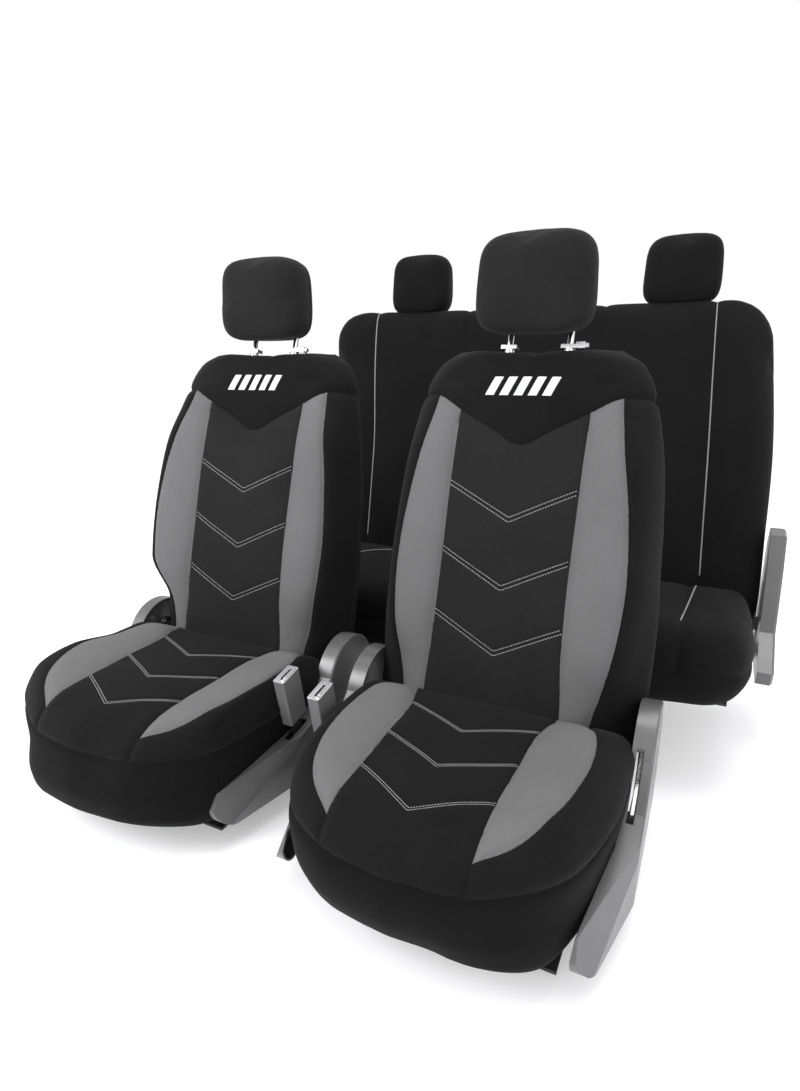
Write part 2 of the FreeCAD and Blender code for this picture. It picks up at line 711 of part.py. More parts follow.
def recline_lever(side, outer, seat):
    """Hub on the recliner shaft with a flat blade that leaves the shield through its slot."""
    pivot_y, pivot_z = pivot_point(size("bite_height"), size("recline"),
                                   size("pivot_depth"), size("pivot_drop"))
    x = outer * size("lever_x")
    hub = rod(side + "_lever_hub", "dimensions.lever_hub_radius", "14",
              (x - 7, pivot_y, pivot_z), (1, 0, 0))
    blade = box(side + "_lever_blade",
                ("dimensions.lever_thick", "dimensions.lever_reach", "dimensions.lever_width"),
                (0, 0, 0))
    swing = Rotation(Vector(1, 0, 0), size("lever_angle"))
    centre = Vector(-size("lever_thick") / 2, 0, -size("lever_width") / 2)
    blade.Placement = Placement(Vector(x, pivot_y, pivot_z) + swing.multVec(centre), swing)
    bore = rod(side + "_lever_bore", "dimensions.lever_shaft_radius + dimensions.pin_gap", "30",
               (x - 15, pivot_y, pivot_z), (1, 0, 0))
    label = "front_%s_recline_lever" % side
    register(cut(label, fuse(label + "_solid", [hub, blade]), bore), label, seat)


# ---------------------------------------------------------------- front seat: belt buckle

def buckle_place(inner, seat):
    """Buckle frame: origin on the stalk's pin, z along the stalk."""
    lean = Placement(Vector(inner * size("buckle_x"), size("buckle_y"), size("buckle_z")),
                     Rotation(Vector(1, 0, 0), size("buckle_lean")))
    return seat.multiply(lean)


def buckle_pieces(side, inner, seat):
    place = buckle_place(inner, seat)
    prefix = "front_%s_buckle_" % side
    wide = size("casing_wide")
    deep = size("casing_deep")
    start = size("casing_start")
    long = size("casing_long")
    top = start + long
    slot = size("tongue_slot")

    stalk = fuse(prefix + "strap", [
        box(prefix + "strap_bar", ("dimensions.stalk_thick", "dimensions.stalk_width",
                                   "dimensions.casing_start"),
            (-size("stalk_thick") / 2, -size("stalk_width") / 2, 0)),
        rod(prefix + "strap_eye", "dimensions.stalk_width / 2", "dimensions.stalk_thick",
            (-size("stalk_thick") / 2, 0, 0), (1, 0, 0)),
    ])
    bore = rod(prefix + "strap_bore", "dimensions.buckle_pin_radius + dimensions.pin_gap", "20",
               (-10, 0, 0), (1, 0, 0))
    register(cut(prefix + "stalk", stalk, bore), prefix + "stalk", place)

    casing = Part.makeBox(wide, deep, long, Vector(-wide / 2, -deep / 2, start))
    casing = casing.makeFillet(4, [edge for edge in casing.Edges
                                   if edge.BoundBox.ZLength > long - 1])
    tongue = Part.makeBox(slot, size("tongue_long"), size("tongue_deep") + 1,
                          Vector(-slot / 2, -size("tongue_long") / 2, top - size("tongue_deep")))
    pocket = Part.makeBox(6.4, 44.4, 13, Vector(slot / 2 + 1.3, -22.2, top - 12))
    feature(prefix + "casing", casing.cut(tongue).cut(pocket), place)

    button = box(prefix + "press", ("6", "44", "10"), (slot / 2 + 1.5, -22, top - 8))
    register(fuse(prefix + "button", [button, box(prefix + "press_rib", ("6", "30", "1"),
                                                  (slot / 2 + 1.5, -15, top + 1.5))]),
             prefix + "button", place)


# ---------------------------------------------------------------- headrests

def guide_solids(xs, depth, top, post, tube, long, bezel):
    """Tubes with a flat bezel on top; bezel is its width, depth and height."""
    solids = []
    for x in xs:
        solid = Part.makeCylinder(tube, long, Vector(x, depth, top - long))
        solid = solid.fuse(Part.makeBox(bezel[0], bezel[1], bezel[2],
                                        Vector(x - bezel[0] / 2, depth - bezel[1] / 2, top)))
        solid = solid.cut(Part.makeCylinder(post, long + 40, Vector(x, depth, top - long - 10)))
        solids.append(solid)
    return solids


def front_guides(side, back):
    """Two headrest guides; the right-hand one carries a lug with the release button."""
    top = size("back_height")
    depth = size("guide_depth")
    spread = size("post_spread")
    bezel = (size("bezel_width"), size("bezel_deep"), size("bezel_high"))
    left, right = guide_solids((-spread, spread), depth, top, size("post_radius") + size("post_gap"),
                               size("guide_radius"), size("guide_long"), bezel)
    lug = Part.makeBox(18, 16, 13, Vector(spread + 12, depth - 8, top))
    pocket = Part.makeBox(12, 10.4, 8.4, Vector(spread + 20, depth - 5.2, top + 2.3))
    feature("front_%s_headrest_guides" % side,
            Part.makeCompound([left, right.fuse(lug).cut(pocket)]), back)
    label = "front_%s_guide_button" % side
    button = box(label, ("12", "10", "8"), (0, 0, 0))
    place = back.multiply(Placement(Vector(spread + 24, depth - 5, top + 2.5), Rotation()))
    register(button, label, place)


def post_rod(prefix, radius, spread, low, high, place, label):
    """Bent rod: two posts and the bar that joins them inside the pad."""
    pieces = []
    for hand in (-1, 1):
        pieces.append(rod("%s_leg_%d" % (prefix, hand + 1), radius, "%f" % (high - low),
                          (hand * spread, 0, low), (0, 0, 1)))
        corner = doc.addObject("Part::Sphere", "%s_bend_%d" % (prefix, hand + 1))
        corner.setExpression("Radius", radius)
        corner.Placement.Base = Vector(hand * spread, 0, high)
        pieces.append(corner)
    pieces.append(rod(prefix + "_bar", radius, "%f" % (2 * spread), (-spread, 0, high), (1, 0, 0)))
    return register(fuse(label, pieces), label, place)


def post_space(radius, spread, low, high):
    """The bent rod's solid, for cutting it out of the pad."""
    shape = Part.makeCylinder(radius, 2 * spread, Vector(-spread, 0, high), Vector(1, 0, 0))
    for hand in (-1, 1):
        shape = shape.fuse(Part.makeCylinder(radius, high - low, Vector(hand * spread, 0, low)))
        shape = shape.fuse(Part.makeSphere(radius, Vector(hand * spread, 0, high)))
    return shape


def front_headrest(side, back):
    bar = size("headrest_bar")
    post_low = size("back_height") - size("guide_long") + 12
    post_line = back.multiply(Placement(Vector(0, size("guide_depth"), 0), Rotation()))
    label = "front_%s_headrest_" % side
    post_rod(label + "rod", "dimensions.post_radius", size("post_spread"), post_low, bar,
             post_line, label + "posts")
    lean = Placement(Vector(0, -size("headrest_forward"), size("headrest_centre")),
                     Rotation(Vector(1, 0, 0), size("headrest_lean")))
    posts = post_space(size("post_radius"), size("post_spread"), post_low, bar)
    blocks = []
    for inset in (0, size("headrest_cover_thick")):
        block = rounded_box(size("headrest_width"), size("headrest_deep"),
                            size("headrest_high"), size("headrest_fillet"), inset)
        block.Placement = lean
        blocks.append(block)
    feature(label + "foam", blocks[1].cut(posts), post_line)
    feature(label + "cover", blocks[0].cut(blocks[1]).cut(posts), post_line)


# ---------------------------------------------------------------- rear bench

def bench_block(inset, low, high, fillet):
    """Bench cushion: rounded front corners, rounded top front edge."""
    half = size("bench_half") - inset
    rear = -size("bench_rear")
    deep = size("bench_cushion_deep") - size("bench_rear") - inset
    block = Part.makeBox(2 * half, deep, high - low, Vector(-half, rear - deep, low))
    corners = [edge for edge in block.Edges
               if edge.BoundBox.ZLength > high - low - 1 and edge.BoundBox.YMax < rear - 10]
    block = block.makeFillet(size("bench_corner") - inset, corners)
    rim = [edge for edge in block.Edges
           if abs(edge.BoundBox.ZMin - high) < 0.01 and edge.BoundBox.YMin < rear - 10]
    return block.makeFillet(fillet, rim)


def bench_base(place):
    """Welded base: feet with bolt holes, legs, pan, rear beam and the hinge brackets."""
    pivot_y, pivot_z = bench_pivot()
    bracket_x = size("bench_bracket_inner")
    pan_low = size("bench_foam_base") - size("pan_thick")
    beam_z = size("bench_beam_z")
    pieces = [
        box("bench_pan", ("1200", "355", "dimensions.pan_thick"), (-600, -385, pan_low)),
        box("bench_rear_beam", ("2 * (dimensions.bench_bracket_inner"
                                " + dimensions.bench_bracket_thick)", "30", "30"),
            (-bracket_x - size("bench_bracket_thick"), pivot_y - 15, beam_z)),
    ]
    holes = []
    for index_x, x in enumerate((-size("bench_foot_x"), size("bench_foot_x"))):
        for index_y, y in enumerate((size("bench_foot_front"), size("bench_foot_rear"))):
            tag = "bench_%d_%d" % (index_x, index_y)
            pieces.append(box(tag + "_foot", ("80", "60", "dimensions.foot_thick"),
                              (x - 40, y - 30, 0)))
            pieces.append(box(tag + "_leg", ("30", "30", "%f" % (pan_low - 5)),
                              (x - 35, y - 15, 5)))
            holes.append(rod(tag + "_hole", "dimensions.foot_hole_radius", "20",
                             (x + 20, y, -5), (0, 0, 1)))
        side_beam = box("bench_side_beam_%d" % index_x, ("30", "440", "30"),
                        (x - 35, -380, beam_z))
        pieces.append(side_beam)
    for hand in (-1, 1):
        tag = "bench_hinge_%d" % (hand + 1)
        low = bracket_x if hand > 0 else -bracket_x - size("bench_bracket_thick")
        pieces.append(box(tag + "_plate", ("dimensions.bench_bracket_thick", "80",
                                           "%f" % (pivot_z - beam_z)),
                          (low, pivot_y - 40, beam_z)))
        pieces.append(rod(tag + "_eye", "40", "dimensions.bench_bracket_thick",
                          (low, pivot_y, pivot_z), (1, 0, 0)))
        pieces.append(rod(tag + "_pin", "dimensions.pin_radius",
                          "dimensions.bench_bracket_inner + dimensions.bench_bracket_thick"
                          " - dimensions.bench_pin_inner",
                          (hand * size("bench_pin_inner"), pivot_y, pivot_z), (hand, 0, 0)))
    welded = fuse("bench_base_welded", pieces)
    register(cut("bench_base", welded, fuse("bench_base_holes", holes)), "bench_base", place)


def bench_pivot():
    return pivot_point(size("bench_bite"), size("bench_recline"),
                       size("bench_pivot_depth"), size("bench_pivot_drop"))


def bench_cushion(place):
    thick = size("cover_thick")
    top = size("bench_bite")
    foam = bench_block(thick, size("bench_foam_base"), top - thick, size("bench_fillet") - thick)
    hollow = bench_block(thick, size("bench_cushion_base") - 20, top - thick,
                         size("bench_fillet") - thick)
    outer = bench_block(0, size("bench_cushion_base"), top, size("bench_fillet"))
    feature("bench_cushion_foam", foam, place)
    feature("bench_cushion_cover", outer.cut(hollow), place)


def bench_shields(place):
    """Tall narrow shields over the hinge brackets at both ends of the bench."""
    inner = size("bench_shield_inner")
    wide = size("bench_shield_outer") - inner
    spacer_x = size("bench_bracket_inner") + size("bench_bracket_thick")
    pivot_y, pivot_z = bench_pivot()
    points = [(-150, 150), (-165, 186), (-62, 250), (-20, 400), (20, 478), (70, 486),
              (112, 440), (118, 250), (80, 150)]
    solids = []
    for hand in (-1, 1):
        plate = polygon_prism([(hand * inner, y, z) for y, z in points], (hand * wide, 0, 0))
        rim = [edge for edge in plate.Edges
               if edge.BoundBox.XLength < 0.01
               and abs(abs(edge.BoundBox.XMin) - inner - wide) < 0.01]
        plate = plate.makeChamfer(5, rim)
        spacer = Part.makeCylinder(18, inner - spacer_x,
                                   Vector(hand * spacer_x, pivot_y, pivot_z - 80),
                                   Vector(hand, 0, 0))
        solids.append(plate.fuse(spacer))
    feature("bench_side_shields", Part.makeCompound(solids), place)


def bench_back_block(inset):
    height = size("bench_back_high")
    half = size("bench_back_half") - inset
    profile = side_profile(height, size("bench_back_thick"), size("bench_top_thick"), 35,
                           size("bench_pivot_depth"), size("bench_pivot_drop"), inset, half)
    corner = size("bench_back_corner")
    slab = Part.makeBox(2 * half, 220, height - inset + 200, Vector(-half, -20, -200))
    uprights = [edge for edge in slab.Edges
                if edge.BoundBox.YLength > 200 and edge.BoundBox.ZMin > 0]
    return profile.common(slab.makeFillet(corner - inset, uprights))


def bench_back_tubes():
    """Torque tube on the hinge axis with four uprights and a top rail, not yet bored."""
    depth = size("bench_pivot_depth")
    drop = size("bench_pivot_drop")
    radius = size("bench_tube_radius")
    top = size("bench_hoop_top")
    half = size("bench_back_half") - size("cover_thick")
    outer = size("bench_upright_x")
    shape = Part.makeCylinder(size("hub_radius"), 2 * half, Vector(-half, depth, -drop),
                              Vector(1, 0, 0))
    shape = shape.fuse(Part.makeCylinder(radius, 2 * outer, Vector(-outer, depth - 12, top),
                                         Vector(1, 0, 0)))
    for x in (-outer, -outer / 3, outer / 3, outer):
        foot = Vector(x, depth, -drop)
        head = Vector(x, depth - 12, top)
        shape = shape.fuse(Part.makeCylinder(radius, (head - foot).Length, foot, head - foot))
        shape = shape.fuse(Part.makeSphere(radius, head))
    return shape


def bench_pin_bores():
    """Bores in both ends of the torque tube for the hinge pins."""
    radius = size("pin_radius") + size("pin_gap")
    start = size("bench_pin_inner") - 10
    bores = [Part.makeCylinder(radius, size("bench_back_half") - start,
                               Vector(hand * start, size("bench_pivot_depth"),
                                      -size("bench_pivot_drop")),
                               Vector(hand, 0, 0)) for hand in (-1, 1)]
    return Part.makeCompound(bores)


def bench_guide_xs():
    return [centre + hand * size("bench_post_spread")
            for centre in (-size("bench_rest_x"), size("bench_rest_x")) for hand in (-1, 1)]


def bench_back(back):
    height = size("bench_back_high")
    depth = size("guide_depth")
    tubes = bench_back_tubes()
    half = size("bench_back_half") + 5
    axle = Part.makeCylinder(size("hub_radius"), 2 * half,
                             Vector(-half, size("bench_pivot_depth"), -size("bench_pivot_drop")),
                             Vector(1, 0, 0))
    core = bench_back_block(size("cover_thick"))
    cover = bench_back_block(0).cut(core).cut(axle)
    foam = core.cut(tubes)
    tube = size("bench_guide_radius")
    long = size("bench_guide_long")
    for x in bench_guide_xs():
        space = Part.makeCylinder(tube, long + 1, Vector(x, depth, height - long))
        foam = foam.cut(space)
        cover = cover.cut(space)
    feature("bench_back_frame", tubes.cut(bench_pin_bores()), back)
    feature("bench_back_foam", foam, back)
    feature("bench_back_cover", cover, back)
    guides = guide_solids(bench_guide_xs(), depth, height,
                          size("bench_post_radius") + size("post_gap"), tube, long, (26, 20, 3))
    feature("bench_headrest_guides", Part.makeCompound(guides), back)


def bench_headrest(side, hand, back):
    bar = size("bench_rest_bar")
    low = size("bench_back_high") - size("bench_guide_long") + 12
    line = back.multiply(Placement(Vector(hand * size("bench_rest_x"), size("guide_depth"), 0),
                                   Rotation()))
    label = "bench_%s_headrest" % side
    post_rod(label + "_rod", "dimensions.bench_post_radius", size("bench_post_spread"), low,
             bar, line, label + "_posts")
    pad_block = rounded_box(size("bench_rest_width"), size("bench_rest_deep"),
                            size("bench_rest_high"), size("bench_rest_fillet"), 0)
    middle = Vector(0, -size("bench_rest_forward"), size("bench_rest_centre"))
    pad_block.Placement = Placement(middle, Rotation(Vector(1, 0, 0), size("headrest_lean")))
    posts = post_space(size("bench_post_radius"), size("bench_post_spread"), low, bar)
    feature(label, pad_block.cut(posts), line)


# ---------------------------------------------------------------- the set

def front_seat(side, outer):
    """One front seat; outer is the sign of x on its door side."""
    seat = seat_place(size("front_%s_x" % side), size("front_%s_y" % side))
    back = back_place(seat, size("bite_height"), size("recline"))
    slider_frame(side, outer, seat)
    cushion_pieces(side, seat)
    outer_shield(side, outer, seat)
    inner_shield(side, -outer, seat)
    recline_lever(side, outer, seat)
    buckle_pieces(side, -outer, seat)
    back_pieces(side, back)
    front_guides(side, back)
    front_headrest(side, back)


def rear_bench():
    place = seat_place(size("bench_x"), size("bench_y"))
    back = back_place(place, size("bench_bite"), size("bench_recline"))
    bench_base(place)
    bench_cushion(place)
    bench_shields(place)
    bench_back(back)
    bench_headrest("left", -1, back)
    bench_headrest("right", 1, back)


front_rails()
front_seat("left", -1)
front_seat("right", 1)
rear_bench()
doc.recompute()

for item in doc.Objects:
    if "Invalid" in item.State or "Error" in item.State:
        raise RuntimeError("%s is not built: %s" % (item.Label, item.State))
for piece in subparts:
    if piece.Shape.isNull() or not piece.Shape.isValid():
        raise RuntimeError("%s has no valid shape" % piece.Label)

os.makedirs("parts", exist_ok=True)
for piece in subparts:
    piece.Shape.exportStep(os.path.join("parts", piece.Label + ".step"))
bounds = FreeCAD.BoundBox()
for piece in subparts:
    bounds.add(piece.Shape.BoundBox)
print("%d sub-parts" % len(subparts), bounds)
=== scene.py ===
import json
import math
import random

import bmesh
import bpy
import numpy as np
from mathutils import Matrix, Vector
from mathutils.bvhtree import BVHTree


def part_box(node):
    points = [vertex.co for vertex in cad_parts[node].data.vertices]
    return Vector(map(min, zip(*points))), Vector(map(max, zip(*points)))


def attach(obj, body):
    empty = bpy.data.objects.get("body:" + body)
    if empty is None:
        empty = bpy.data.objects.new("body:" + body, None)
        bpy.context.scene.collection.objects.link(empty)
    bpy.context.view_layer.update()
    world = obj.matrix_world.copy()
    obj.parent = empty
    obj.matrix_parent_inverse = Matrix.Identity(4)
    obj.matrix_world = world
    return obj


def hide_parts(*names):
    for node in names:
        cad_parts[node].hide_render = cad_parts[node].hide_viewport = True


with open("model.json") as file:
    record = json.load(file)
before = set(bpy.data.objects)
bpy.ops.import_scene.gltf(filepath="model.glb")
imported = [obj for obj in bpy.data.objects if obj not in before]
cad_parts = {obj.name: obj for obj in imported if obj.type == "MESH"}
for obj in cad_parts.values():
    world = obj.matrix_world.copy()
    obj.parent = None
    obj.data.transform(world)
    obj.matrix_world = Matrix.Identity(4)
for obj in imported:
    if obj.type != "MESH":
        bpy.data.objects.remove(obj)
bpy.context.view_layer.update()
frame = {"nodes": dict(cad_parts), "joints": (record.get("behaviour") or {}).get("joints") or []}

# Metres, in the CAD frame: +Z up, the seats face -Y.
# A back's own frame has its origin on the bite line, y into the back and z up along its face.
# A seat's own frame stands on the floor under the bite line. Soft pieces are made in those
# frames and then put on each seat.

JOINTS = {joint["name"]: joint for joint in frame["joints"]}
NODES = frame["nodes"]
SIDES = ("left", "right")
random.seed(7)


# ---- camera, light and floor

def aim(obj, direction):
    obj.rotation_euler = Vector(direction).to_track_quat("-Z", "Y").to_euler()


def make_camera():
    turn = math.radians(26.07)
    down = math.radians(15.26)
    data = bpy.data.cameras.new("camera")
    data.lens = 21.47
    data.clip_end = 200
    camera = bpy.data.objects.new("camera", data)
    camera.location = (0.569, -1.382, 0.879)
    aim(camera, (-math.sin(turn) * math.cos(down), math.cos(turn) * math.cos(down),
                 -math.sin(down)))
    bpy.context.scene.collection.objects.link(camera)
    bpy.context.scene.camera = camera


def area_light(name, location, target, width, height, power):
    data = bpy.data.lights.new(name, "AREA")
    data.shape = "RECTANGLE"
    data.size = width
    data.size_y = height
    data.energy = power
    light = bpy.data.objects.new(name, data)
    light.location = location
    aim(light, Vector(target) - Vector(location))
    bpy.context.scene.collection.objects.link(light)


def make_studio():
    bpy.context.scene.view_settings.view_transform = "Standard"
    bpy.context.scene.view_settings.look = "None"
    world = bpy.data.worlds.new("studio")
    world.use_nodes = True
    backdrop = world.node_tree.nodes["Background"]
    backdrop.inputs["Color"].default_value = (1.0, 1.0, 1.0, 1.0)
    backdrop.inputs["Strength"].default_value = 1.0
    bpy.context.scene.world = world
    area_light("key", (-2.2, -2.6, 2.6), (0.0, 0.0, 0.5), 1.8, 1.8, 95)
    area_light("fill", (2.6, -2.2, 1.6), (0.1, 0.0, 0.5), 2.0, 2.0, 26)
    area_light("top", (0.2, 0.6, 3.4), (0.0, 0.0, 0.4), 2.6, 2.0, 60)
    floor = mesh_object("floor", [(-30, -30, 0), (30, -30, 0), (30, 30, 0), (-30, 30, 0)],
                        [(0, 1, 2, 3)])
    floor.data.materials.append(floor_material())


# ---- materials

class Graph:
    """A material's node tree with one Principled shader."""

    def __init__(self, name):
        self.material = bpy.data.materials.new(name)
        self.material.use_nodes = True
        self.nodes = self.material.node_tree.nodes
        self.links = self.material.node_tree.links
        self.shader = self.nodes["Principled BSDF"]
        self.place = self.add("ShaderNodeTexCoord").outputs["Object"]

    def add(self, kind, **settings):
        node = self.nodes.new(kind)
        for key, value in settings.items():
            setattr(node, key, value)
        return node

    def set(self, **values):
        for key, value in values.items():
            self.shader.inputs[key.replace("_", " ")].default_value = value

    def math(self, operation, first, second=None):
        node = self.add("ShaderNodeMath", operation=operation)
        for index, value in enumerate((first, second)):
            if value is None:
                continue
            if isinstance(value, (int, float)):
                node.inputs[index].default_value = value
            else:
                self.links.new(value, node.inputs[index])
        return node.outputs[0]

    def noise(self, scale, detail=3.0, roughness=0.55):
        node = self.add("ShaderNodeTexNoise")
        node.inputs["Scale"].default_value = scale
        node.inputs["Detail"].default_value = detail
        node.inputs["Roughness"].default_value = roughness
        self.links.new(self.place, node.inputs["Vector"])
        return node.outputs["Fac"]

    def stripes(self, direction, period):
        """Sine of the distance along a direction, from -1 to 1."""
        factor = 2 * math.pi / period
        node = self.add("ShaderNodeVectorMath", operation="DOT_PRODUCT")
        self.links.new(self.place, node.inputs[0])
        node.inputs[1].default_value = [factor * part for part in direction]
        return self.math("SINE", node.outputs["Value"])

    def ramp(self, value, low, high, start=0.0, end=1.0):
        node = self.add("ShaderNodeValToRGB")
        node.color_ramp.elements[0].position = start
        node.color_ramp.elements[1].position = end
        node.color_ramp.elements[0].color = (*low, 1.0)
        node.color_ramp.elements[1].color = (*high, 1.0)
        self.links.new(value, node.inputs["Fac"])
        return node.outputs["Color"]

    def colour(self, output):
        self.links.new(output, self.shader.inputs["Base Color"])

    def roughness(self, value, low, high):
        node = self.add("ShaderNodeMapRange")
        node.inputs["To Min"].default_value = low
        node.inputs["To Max"].default_value = high
        self.links.new(value, node.inputs["Value"])
        self.links.new(node.outputs[0], self.shader.inputs["Roughness"])

    def bump(self, height, distance, strength=1.0, rounding=0.0):
        node = self.add("ShaderNodeBump")
        node.inputs["Distance"].default_value = distance
        node.inputs["Strength"].default_value = strength
        self.links.new(height, node.inputs["Height"])
        if rounding:
            bevel = self.add("ShaderNodeBevel", samples=4)
            bevel.inputs["Radius"].default_value = rounding
            self.links.new(bevel.outputs[0], node.inputs["Normal"])
        self.links.new(node.outputs[0], self.shader.inputs["Normal"])


def grey(value):
    return (value, value, value * 1.02)


def knit_material(name, dark, light, period, sheen):
    """Fine knit: interlocked ribs, cloudy dye and a little surface fuzz."""
    graph = Graph(name)
    ribs = graph.stripes((1, 1, 0.25), period)
    wales = graph.stripes((0.2, -1, 1), period)
    loops = graph.math("MULTIPLY", ribs, wales)
    fuzz = graph.noise(900, 2.0)
    cloud = graph.noise(7, 4.0)
    speck = graph.noise(420, 1.0)
    tone = graph.math("ADD", graph.math("MULTIPLY", cloud, 0.55), graph.math("MULTIPLY", speck, 0.45))
    tone = graph.math("ADD", tone, graph.math("MULTIPLY", loops, 0.10))
    graph.colour(graph.ramp(tone, dark, light, 0.25, 0.75))
    graph.roughness(speck, 0.78, 0.95)
    relief = graph.math("ADD", graph.math("MULTIPLY", loops, 0.4), fuzz)
    graph.bump(relief, 0.0003, 0.8)
    graph.set(Sheen_Weight=sheen, Sheen_Roughness=0.45, Specular_IOR_Level=0.08)
    return graph.material


def thread_material(name, colour):
    """Twisted sewing thread."""
    graph = Graph(name)
    twist = graph.stripes((1, 1, 1), 0.0012)
    cloud = graph.noise(60)
    graph.colour(graph.ramp(cloud, [part * 0.82 for part in colour], colour, 0.3, 0.7))
    graph.roughness(cloud, 0.5, 0.7)
    graph.bump(twist, 0.0002)
    graph.set(Sheen_Weight=0.2)
    return graph.material


def moulded_material(name, dark, light, rough, metal=0.0, rounding=0.0015):
    """Moulded plastic with a fine leather-like grain and slightly uneven gloss."""
    graph = Graph(name)
    grain = graph.noise(1400, 2.0)
    cloud = graph.noise(9, 3.0)
    graph.colour(graph.ramp(cloud, dark, light, 0.3, 0.7))
    graph.roughness(graph.noise(35, 2.0), rough - 0.05, rough + 0.07)
    graph.bump(grain, 0.00005, 0.5, rounding)
    graph.set(Metallic=metal)
    return graph.material


def buckle_material(name):
    """Grey plastic; faces that point up and a little forward, the end that the belt tongue goes into,
    get a painted highlight: pale grey and metallic.
    """
    graph = Graph(name)
    facing = graph.add("ShaderNodeVectorMath", operation="DOT_PRODUCT")
    graph.links.new(graph.add("ShaderNodeTexCoord").outputs["Normal"], facing.inputs[0])
    lean = math.radians(12)
    facing.inputs[1].default_value = (0.0, -math.sin(lean), math.cos(lean))
    # Painted highlight: faces pointing up and a little forward turn pale grey and metallic.
    painted_highlight = graph.math("GREATER_THAN", facing.outputs["Value"], 0.95)
    graph.colour(graph.ramp(painted_highlight, grey(0.14), grey(0.86), 0.4, 0.6))
    graph.links.new(painted_highlight, graph.shader.inputs["Metallic"])
    graph.roughness(graph.noise(35, 2.0), 0.26, 0.38)
    graph.bump(graph.noise(1400, 2.0), 0.00004, 0.5, 0.001)
    return graph.material


def metal_material(name, colour, rough, scratch):
    """Metal with faint drawn scratches."""
    graph = Graph(name)
    drawn = graph.add("ShaderNodeTexNoise")
    drawn.inputs["Scale"].default_value = 260
    stretch = graph.add("ShaderNodeVectorMath", operation="MULTIPLY")
    stretch.inputs[1].default_value = (1.0, 1.0, 0.06)
    graph.links.new(graph.place, stretch.inputs[0])
    graph.links.new(stretch.outputs[0], drawn.inputs["Vector"])
    cloud = graph.noise(14)
    graph.colour(graph.ramp(cloud, [part * 0.9 for part in colour], colour, 0.3, 0.7))
    graph.roughness(drawn.outputs["Fac"], rough, rough + 0.12)
    graph.bump(drawn.outputs["Fac"], 0.00005, scratch, 0.0008)
    graph.set(Metallic=1.0)
    return graph.material


def painted_material(name):
    """Black powder-coated steel with worn, paler patches."""
    graph = Graph(name)
    peel = graph.noise(600, 2.0)
    wear = graph.noise(22, 6.0, 0.7)
    graph.colour(graph.ramp(wear, grey(0.018), grey(0.06), 0.45, 0.85))
    graph.roughness(wear, 0.38, 0.6)
    graph.bump(peel, 0.00015, 0.5, 0.001)
    return graph.material


def floor_material():
    graph = Graph("pale_floor")
    graph.colour(graph.ramp(graph.noise(2.0), grey(0.84), grey(0.86)))
    graph.set(Roughness=0.9, Specular_IOR_Level=0.0, Emission_Color=(1.0, 1.0, 1.0, 1.0),
              Emission_Strength=0.30)
    return graph.material


def make_materials():
    return {
        "black": knit_material("black_knit", grey(0.0042), grey(0.0088), 0.0021, 0.03),
        # Painted light: a lighter copy of the black knit for the front backs' centre panels and the
        # front headrests, which face the lamps; the cushions' centre panels keep the black knit.
        "panel": knit_material("black_panel_knit", grey(0.0105), grey(0.0175), 0.0021, 0.04),
        "skirt": knit_material("black_skirt_knit", grey(0.0030), grey(0.0065), 0.0026, 0.02),
        "grey": knit_material("grey_knit", grey(0.112), grey(0.140), 0.0021, 0.04),
        "thread": thread_material("light_thread", (0.36, 0.36, 0.36)),
        "white": thread_material("white_thread", (0.92, 0.92, 0.92)),
        "piping": thread_material("piping_cloth", (0.30, 0.30, 0.30)),
        "shield": moulded_material("grey_moulding", grey(0.118), grey(0.140), 0.30, 0.35),
        # Buckle casing: grey plastic with a painted highlight on its up-facing end.
        "casing": buckle_material("buckle_grey"),
        "dark": moulded_material("black_moulding", grey(0.010), grey(0.016), 0.35),
        "silver": moulded_material("silver_moulding", grey(0.62), grey(0.72), 0.22, 0.7, 0.0008),
        "chrome": metal_material("chrome_rod", (0.88, 0.88, 0.90), 0.05, 0.15),
        "satin": metal_material("satin_metal", (0.72, 0.72, 0.74), 0.22, 0.4),
        "steel": painted_material("black_steel"),
    }


# ---- mesh helpers

def mesh_object(name, verts, faces):
    mesh = bpy.data.meshes.new(name)
    mesh.from_pydata([tuple(vert) for vert in verts], [], [tuple(face) for face in faces])
    mesh.update()
    obj = bpy.data.objects.new(name, mesh)
    bpy.context.scene.collection.objects.link(obj)
    return obj


def get_points(mesh):
    flat = np.zeros(len(mesh.vertices) * 3)
    mesh.vertices.foreach_get("co", flat)
    return flat.reshape(-1, 3)


def set_points(mesh, points):
    mesh.vertices.foreach_set("co", np.asarray(points, float).ravel())
    mesh.update()


def get_normals(mesh):
    flat = np.zeros(len(mesh.vertices) * 3)
    mesh.vertex_normals.foreach_get("vector", flat)
    return flat.reshape(-1, 3)


def ring_faces(first, rings, count):
    """Quads between rings of count vertices each, and a cap on both ends."""
    faces = []
    for ring in range(rings - 1):
        low = first + ring * count
        high = low + count
        for step in range(count):
            after = (step + 1) % count
            faces.append((low + step, low + after, high + after, high + step))
    last = first + (rings - 1) * count
    faces.append(tuple(first + step for step in reversed(range(count))))
    faces.append(tuple(last + step for step in range(count)))
    return faces


def loft(rows):
    """Closed tube through rows of equal count."""
    verts = [point for row in rows for point in row]
    return verts, ring_faces(0, len(rows), len(rows[0]))


def smooth_all(mesh):
    for polygon in mesh.polygons:
        polygon.use_smooth = True


def smooth_mesh(name, verts, faces):
    mesh = bpy.data.meshes.new(name)
    mesh.from_pydata([tuple(vert) for vert in verts], [], faces)
    smooth_all(mesh)
    return mesh


def bake_modifiers(obj):
    graph = bpy.context.evaluated_depsgraph_get()
    graph.update()
    mesh = bpy.data.meshes.new_from_object(obj.evaluated_get(graph))
    obj.modifiers.clear()
    obj.data = mesh


